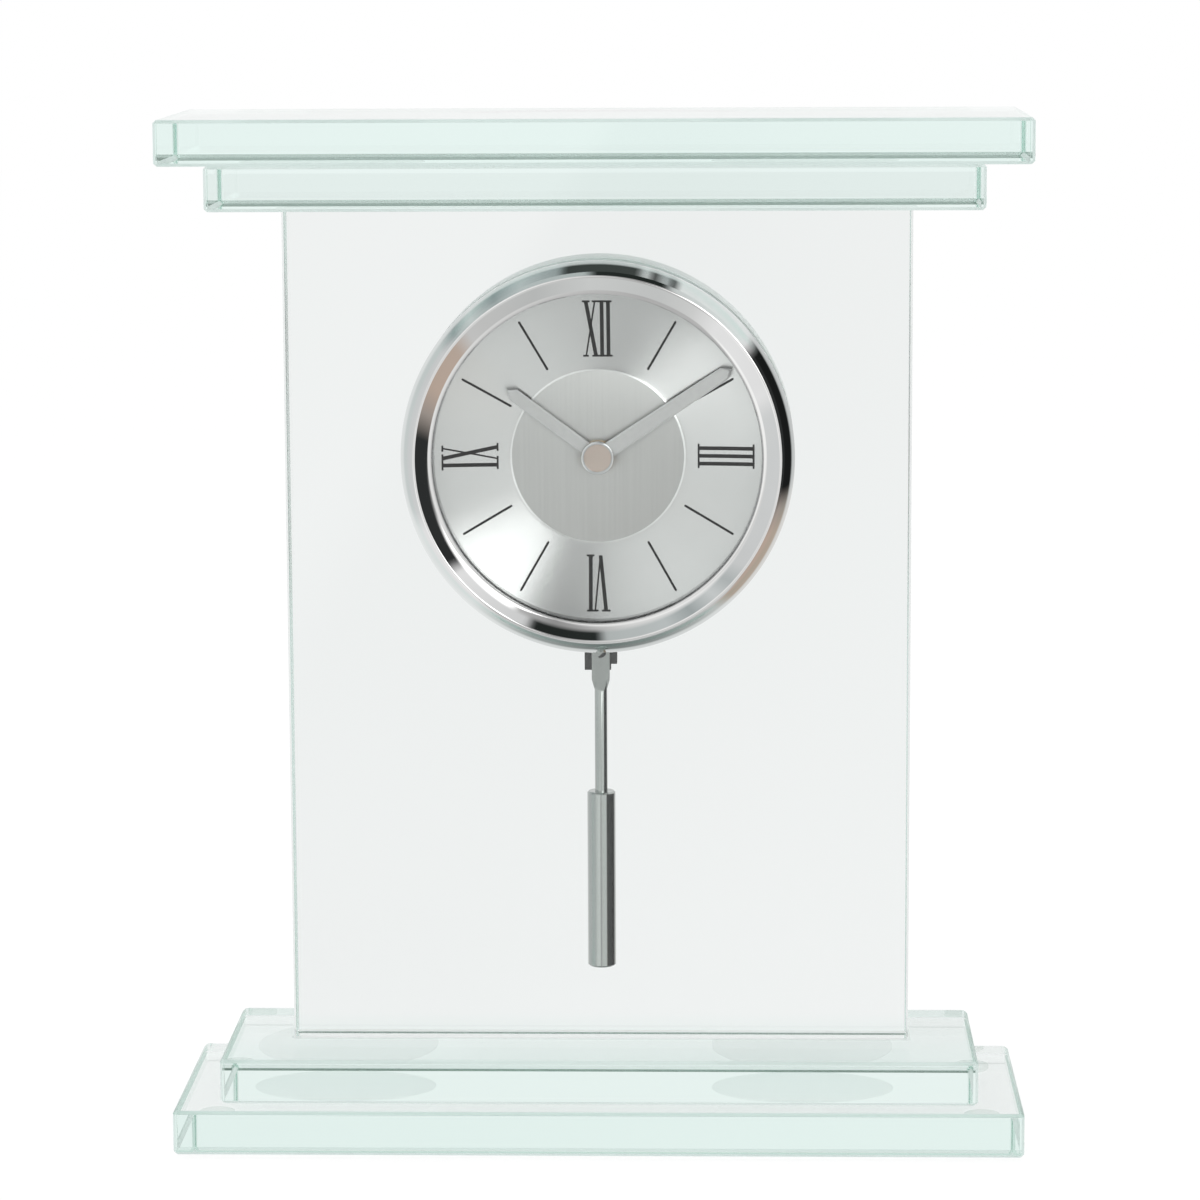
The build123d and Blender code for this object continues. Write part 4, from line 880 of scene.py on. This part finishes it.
class ClockMovement(bpy.types.Operator):
    """Dresses the drum, its door and screws, and the movement inside"""

    bl_idname = "clock.movement"
    bl_label = "Drum and movement"

    def execute(self, context):
        settings = context.scene.clock_drum

        # Metallic paint over a moulding: silky and pale, brighter towards the light, never a mirror.
        colour = settings.drum_colour
        silver = solid_material("Moulded ABS, satin silver coat", colour, 0.1, 0.36, size=0.833)
        settle(dressed("rear_drum", "drum_shell"), silver, CASE, ["rear_drum"])
        settle(dressed("battery_door", "door_plate"), silver, "door", ["battery_door"])

        # Moulded in a smooth tool: black, with a soft highlight along its edge.
        knob = solid_material("Moulded black ABS knob", settings.knob_colour, 0.0, 0.45)
        settle(dressed("setting_knob", "knob_turned"), knob, "knob", ["setting_knob"])
        motion = ("hour_wheel", "motion_wheel")
        train = ("centre_wheel", "third_wheel", "seconds_wheel", "intermediate_wheel")
        cases = ("movement_front_case", "movement_rear_case")
        finishes = (
            # A soft yellowish grey with blurred highlights.
            (("clamp_screws",), "Zinc plated steel screws", "B4B3AC", 1.0, 0.3),
            # Spark eroded tool: dull black without a clear highlight.
            (cases, "Moulded black ABS, spark texture", "1C1C1C", 0.0, 0.6),
            # Cut bright: a warm yellow metal.
            (("bush_nut", "cannon_pinion"), "Turned brass", "C9A45C", 1.0, 0.25),
            # Unpainted and waxy: creamy white with a soft gloss.
            (motion + train, "Moulded natural acetal", "E7E3D6", 0.0, 0.38),
            # Pressed powder: dark grey with a hint of metal.
            (("rotor",), "Bonded rotor magnet", "2B2A2C", 0.1, 0.5),
            # Fibres at the surface: dull grey.
            (("middle_plate", "train_bridge"), "Moulded glass filled nylon", "45474A", 0.0, 0.6),
            # Annealed sheet: dim grey metal.
            (("stator",), "Stamped soft iron", "8E8E8C", 1.0, 0.4),
            # Lacquer over copper: an orange red with a metal shine.
            (("motor_coil", "drive_coil"), "Enamelled copper winding", "B5643B", 0.9, 0.35),
            # Lacquered board: glossy green.
            (("circuit_board",), "Green circuit laminate", "1F5B34", 0.0, 0.4),
            # Printed film over a metal can: dark blue with a dim metal shine.
            (("battery_cell",), "Printed cell jacket, plain", "27435F", 0.3, 0.35),
            # Bright plating on strip: pale, slightly warm metal.
            (("contact_positive", "contact_negative"), "Nickel plated spring steel", "C2BFB6", 1.0, 0.25),
        )
        for nodes, name, code, metallic, roughness in finishes:
            material = solid_material(name, srgb(code), metallic, roughness)
            for node in nodes:
                paint(node, material)
        return {"FINISHED"}


# Studio

# Colours of the room to the sides, seen only as reflections: white cards, grey walls and black gaps between
# them. Each is at its angle in degrees, clockwise from straight up as seen from the front. The first room
# is in front of the clock, the second behind it.
ROOM_IN_FRONT = (
    (-180, "E2E4E3"), (-160, "DADCDB"), (-150, "E6E7E6"), (-142, "FFFFFF"),
    (-118, "FFFFFF"), (-112, "E8EAEA"), (-62, "E4E6E6"), (-55, "C6CCCC"),
    (-48, "E2E6E6"), (-38, "B4BCBC"), (-28, "D2D8D8"), (-6, "C6CCCB"),
    (-2, "2E3331"), (22, "282C2A"), (26, "E8E9E9"), (56, "FFFFFF"),
    (61, "343636"), (106, "343636"), (114, "AFA59D"), (122, "CDB9AA"),
    (136, "CDBBAD"), (142, "DCDCDB"), (164, "D0D2D1"), (180, "E2E4E3"),
)
ROOM_BEHIND = (
    (-180, "868988"), (-160, "B4B7B6"), (-150, "E6E7E6"), (-142, "FFFFFF"),
    (-118, "FFFFFF"), (-112, "E6E8E8"), (-62, "E0E3E3"), (-55, "B2BABB"),
    (-48, "E4E8E8"), (-38, "A4AEAF"), (-28, "CCD4D4"), (-15, "A9B2B2"),
    (-12, "454A48"), (12, "4A4E4C"), (15, "E0E2E2"), (18, "50504F"),
    (22, "C8CBCB"), (25, "4A4D4D"), (28, "FFFFFF"), (56, "FFFFFF"),
    (61, "1E1F1F"), (106, "202121"), (112, "AFA59D"), (120, "CDB9AA"),
    (142, "CDBBAD"), (148, "DCDCDB"), (164, "A8ABAA"), (180, "868988"),
)

# Brightness of the room straight ahead of the clock, at the same angles, with two bright cards low on the
# left and high on the right, which fan out over the spun dial.
AHEAD = (
    (-180, 0.7), (-165, 0.56), (-150, 0.62), (-144, 1.2), (-116, 1.15), (-98, 0.82),
    (-75, 0.98), (-45, 1.15), (-15, 0.85), (5, 0.46), (15, 0.36), (30, 0.6),
    (36, 2.5), (68, 2.85), (80, 0.95), (135, 1.0), (165, 0.85), (180, 0.7),
)

# A colour ramp's values end at 1, so brightness goes in as a share of this and is multiplied after.
BRIGHTEST = 3.0

# How much of what is ahead or behind shows instead of the sides, from straight ahead (0) to behind (1).
ENDS_SHARE = (
    (0.0, 1.0), (0.135, 1.0), (0.165, 0.0),
    (0.76, 0.0), (0.82, 0.7), (0.987, 0.76), (0.994, 1.0),
)

# What light leaving the glass meets, from level (0) to straight up (1): pale walls and a dim green ceiling,
# which darkens the ends of the slabs.
ABOVE_GLASS = ((0.0, "F9F9F9"), (0.5, "F9F9F9"), (0.8, "6F877C"), (1.0, "54675E"))

# Name, place and size in metres of each square lamp; the powers are settings.
LAMPS = (
    ("key", (0.45, -0.75, 0.75), 0.5),
    ("fill", (-0.8, -0.5, 0.35), 0.6),
)


def around(table):
    """A table by angle as stops of a ramp that runs once around."""
    return [((degrees + 180) / 360, value) for degrees, value in table]


class ClockStage(bpy.types.Operator):
    """Sets the floor, the soft light, the backdrop and the camera"""

    bl_idname = "clock.stage"
    bl_label = "Stage"

    def execute(self, context):
        settings = context.scene.clock_studio
        self.floor(settings)
        self.room(settings)
        self.lamps(settings)
        self.camera(settings)
        context.scene.view_settings.view_transform = "Standard"
        return {"FINISHED"}

    def floor(self, settings):
        """A wide sheet of paper: matt white with a soft shadow, which fades into the white room."""
        bpy.ops.mesh.primitive_plane_add(size=8.0, location=(0, 0, 0))
        floor = bpy.context.object
        floor.name = "floor"
        material, tree = new_material("Pale paper floor")
        ray = add_node(tree, "LightPath").outputs
        white = (1, 1, 1, 1)
        paper = add_node(tree, "BsdfDiffuse", {"Color": settings.paper})
        level = add_node(tree, "MapRange", {"Value": ray["Is Camera Ray"], "To Min": 0.93, "To Max": 1.08})
        glow = add_node(tree, "Emission", {"Color": white, "Strength": level})
        seen = {0: ray["Is Camera Ray"], 1: ray["Is Transmission Ray"]}
        direct = add_node(tree, "Math", seen, operation="MAXIMUM")
        share = add_node(tree, "Math", {0: direct, 1: 0.8}, operation="MULTIPLY")
        surface = add_node(tree, "MixShader", {0: share, 1: paper, 2: glow})
        add_node(tree, "OutputMaterial", {"Surface": surface})
        floor.data.materials.append(material)
        floor.visible_glossy = False

    def room(self, settings):
        """An even light for matt pieces, a room for metal, another for glass, and white behind it all."""
        world = bpy.data.worlds.new("Studio")
        bpy.context.scene.world = world
        world.use_nodes = True
        world.cycles.sampling_method = "NONE"
        tree = world.node_tree
        tree.nodes.clear()
        white = (1, 1, 1, 1)
        ray = add_node(tree, "LightPath").outputs
        direction = add_node(tree, "TexCoord").outputs["Generated"]
        across, along, up = add_node(tree, "SeparateXYZ", {"Vector": direction}).outputs

        # What polished pieces mirror: the rooms to their sides, or what is straight ahead or behind.
        angle = add_node(tree, "Math", {0: across, 1: up}, operation="ARCTAN2")
        turn = add_node(tree, "MapRange", {"Value": angle, "From Min": -pi, "From Max": pi})
        rear = add_node(tree, "Math", {0: along, 1: 0.0}, operation="GREATER_THAN")
        front_sides = add_node(tree, "ValToRGB", {"Fac": turn}, around(ROOM_IN_FRONT))
        rear_sides = add_node(tree, "ValToRGB", {"Fac": turn}, around(ROOM_BEHIND))
        sides = {"Factor": rear, FIRST: front_sides, SECOND: rear_sides}
        sides = add_node(tree, "Mix", sides, data_type="RGBA")
        stops = [(place, level / BRIGHTEST) for place, level in around(AHEAD)]
        cards = add_node(tree, "ValToRGB", {"Fac": turn}, stops)
        warm = (BRIGHTEST, BRIGHTEST, BRIGHTEST * 0.99, 1)
        ahead = {"Factor": 1.0, FIRST: cards, SECOND: warm}
        ahead = add_node(tree, "Mix", ahead, data_type="RGBA", blend_type="MULTIPLY")
        ends = add_node(tree, "Mix", {"Factor": rear, FIRST: ahead, SECOND: white}, data_type="RGBA")
        depth = add_node(tree, "MapRange", {"Value": along, "From Min": -1.0})
        share = add_node(tree, "ValToRGB", {"Fac": depth}, ENDS_SHARE)
        mirrored = add_node(tree, "Mix", {"Factor": share, FIRST: sides, SECOND: ends}, data_type="RGBA")
        even = (settings.ambient, settings.ambient, settings.ambient, 1)
        lit = {"Factor": ray["Is Glossy Ray"], FIRST: even, SECOND: mirrored}
        lit = add_node(tree, "Mix", lit, data_type="RGBA")

        # What glass shows: rays that leave it on their way from the camera, or are mirrored inside it.
        early = add_node(tree, "Math", {0: ray["Diffuse Depth"], 1: 0.5}, operation="LESS_THAN")
        leaving = add_node(tree, "Math", {0: ray["Is Transmission Ray"], 1: early}, operation="MULTIPLY")
        crossings = add_node(tree, "Math", {0: ray["Transmission Depth"], 1: 2.0}, operation="MODULO")
        inside = add_node(tree, "Math", {0: ray["Is Glossy Ray"], 1: crossings}, operation="MULTIPLY")
        in_glass = add_node(tree, "Math", {0: leaving, 1: inside}, operation="MAXIMUM")
        above = add_node(tree, "ValToRGB", {"Fac": up}, ABOVE_GLASS)
        shown = add_node(tree, "Mix", {"Factor": in_glass, FIRST: lit, SECOND: above}, data_type="RGBA")

        backdrop = {"Factor": ray["Is Camera Ray"], FIRST: shown, SECOND: white}
        backdrop = add_node(tree, "Mix", backdrop, data_type="RGBA")
        add_node(tree, "OutputWorld", {"Surface": add_node(tree, "Background", {"Color": backdrop})})

    def lamps(self, settings):
        """Two soft lamps, aimed at the dial."""
        for (name, place, size), power in zip(LAMPS, (settings.key_power, settings.fill_power)):
            bpy.ops.object.light_add(type="AREA", location=place)
            lamp = bpy.context.object
            lamp.name = name
            lamp.data.energy = power
            lamp.data.shape = "SQUARE"
            lamp.data.size = size
            aim = ARBOR - Vector(place)
            lamp.rotation_euler = aim.to_track_quat("-Z", "Y").to_euler()
            lamp.visible_camera = False
            lamp.visible_glossy = False

    def camera(self, settings):
        """The camera, turned by its yaw, pitch and roll."""
        yaw, pitch, roll = settings.camera_turn
        ahead = Vector((sin(yaw) * cos(pitch), cos(yaw) * cos(pitch), -sin(pitch)))
        right = Vector((cos(yaw), -sin(yaw), 0))
        up = right.cross(ahead)
        right_rolled = cos(roll) * right + sin(roll) * up
        up_rolled = cos(roll) * up - sin(roll) * right
        turn = Matrix((right_rolled, up_rolled, -ahead)).transposed().to_4x4()
        bpy.ops.object.camera_add()
        camera = bpy.context.object
        camera.matrix_world = Matrix.Translation(Vector(settings.camera_place)) @ turn
        camera.data.lens = settings.lens
        camera.data.sensor_fit = "HORIZONTAL"
        camera.data.sensor_width = 36.0
        camera.data.clip_end = 20.0
        bpy.context.scene.camera = camera


class ClockPanel(bpy.types.Panel):
    """Lists the clock's settings and pieces"""

    bl_idname = "VIEW3D_PT_clock"
    bl_label = "Desk pendulum clock"
    bl_space_type = "VIEW_3D"
    bl_region_type = "UI"
    bl_category = "Clock"

    def draw(self, context):
        for name, group in SETTINGS.items():
            for setting in group.__annotations__:
                self.layout.prop(getattr(context.scene, name), setting)
        for operator in OPERATORS:
            self.layout.operator(operator.bl_idname)


SETTINGS = {
    "clock_glass": ClockGlassSettings,
    "clock_bezel": ClockBezelSettings,
    "clock_dial": ClockDialSettings,
    "clock_hands": ClockHandSettings,
    "clock_pendulum": ClockPendulumSettings,
    "clock_drum": ClockDrumSettings,
    "clock_studio": ClockStudioSettings,
}
OPERATORS = (
    ClockGlassCase,
    ClockBezel,
    ClockDial,
    ClockNumerals,
    ClockHands,
    ClockPendulum,
    ClockMovement,
    ClockStage,
)


def register():
    for item in (*SETTINGS.values(), *OPERATORS, ClockPanel):
        bpy.utils.register_class(item)
    for name, group in SETTINGS.items():
        setattr(bpy.types.Scene, name, bpy.props.PointerProperty(type=group))


def unregister():
    for name in SETTINGS:
        delattr(bpy.types.Scene, name)
    for item in reversed((*SETTINGS.values(), *OPERATORS, ClockPanel)):
        bpy.utils.unregister_class(item)


def main():
    """Builds the clock piece by piece."""
    register()
    bpy.ops.clock.glass_case()
    bpy.ops.clock.bezel()
    bpy.ops.clock.dial()
    bpy.ops.clock.numerals()
    bpy.ops.clock.hands()
    bpy.ops.clock.pendulum()
    bpy.ops.clock.movement()
    bpy.ops.clock.stage()


if __name__ == "__main__":
    main()
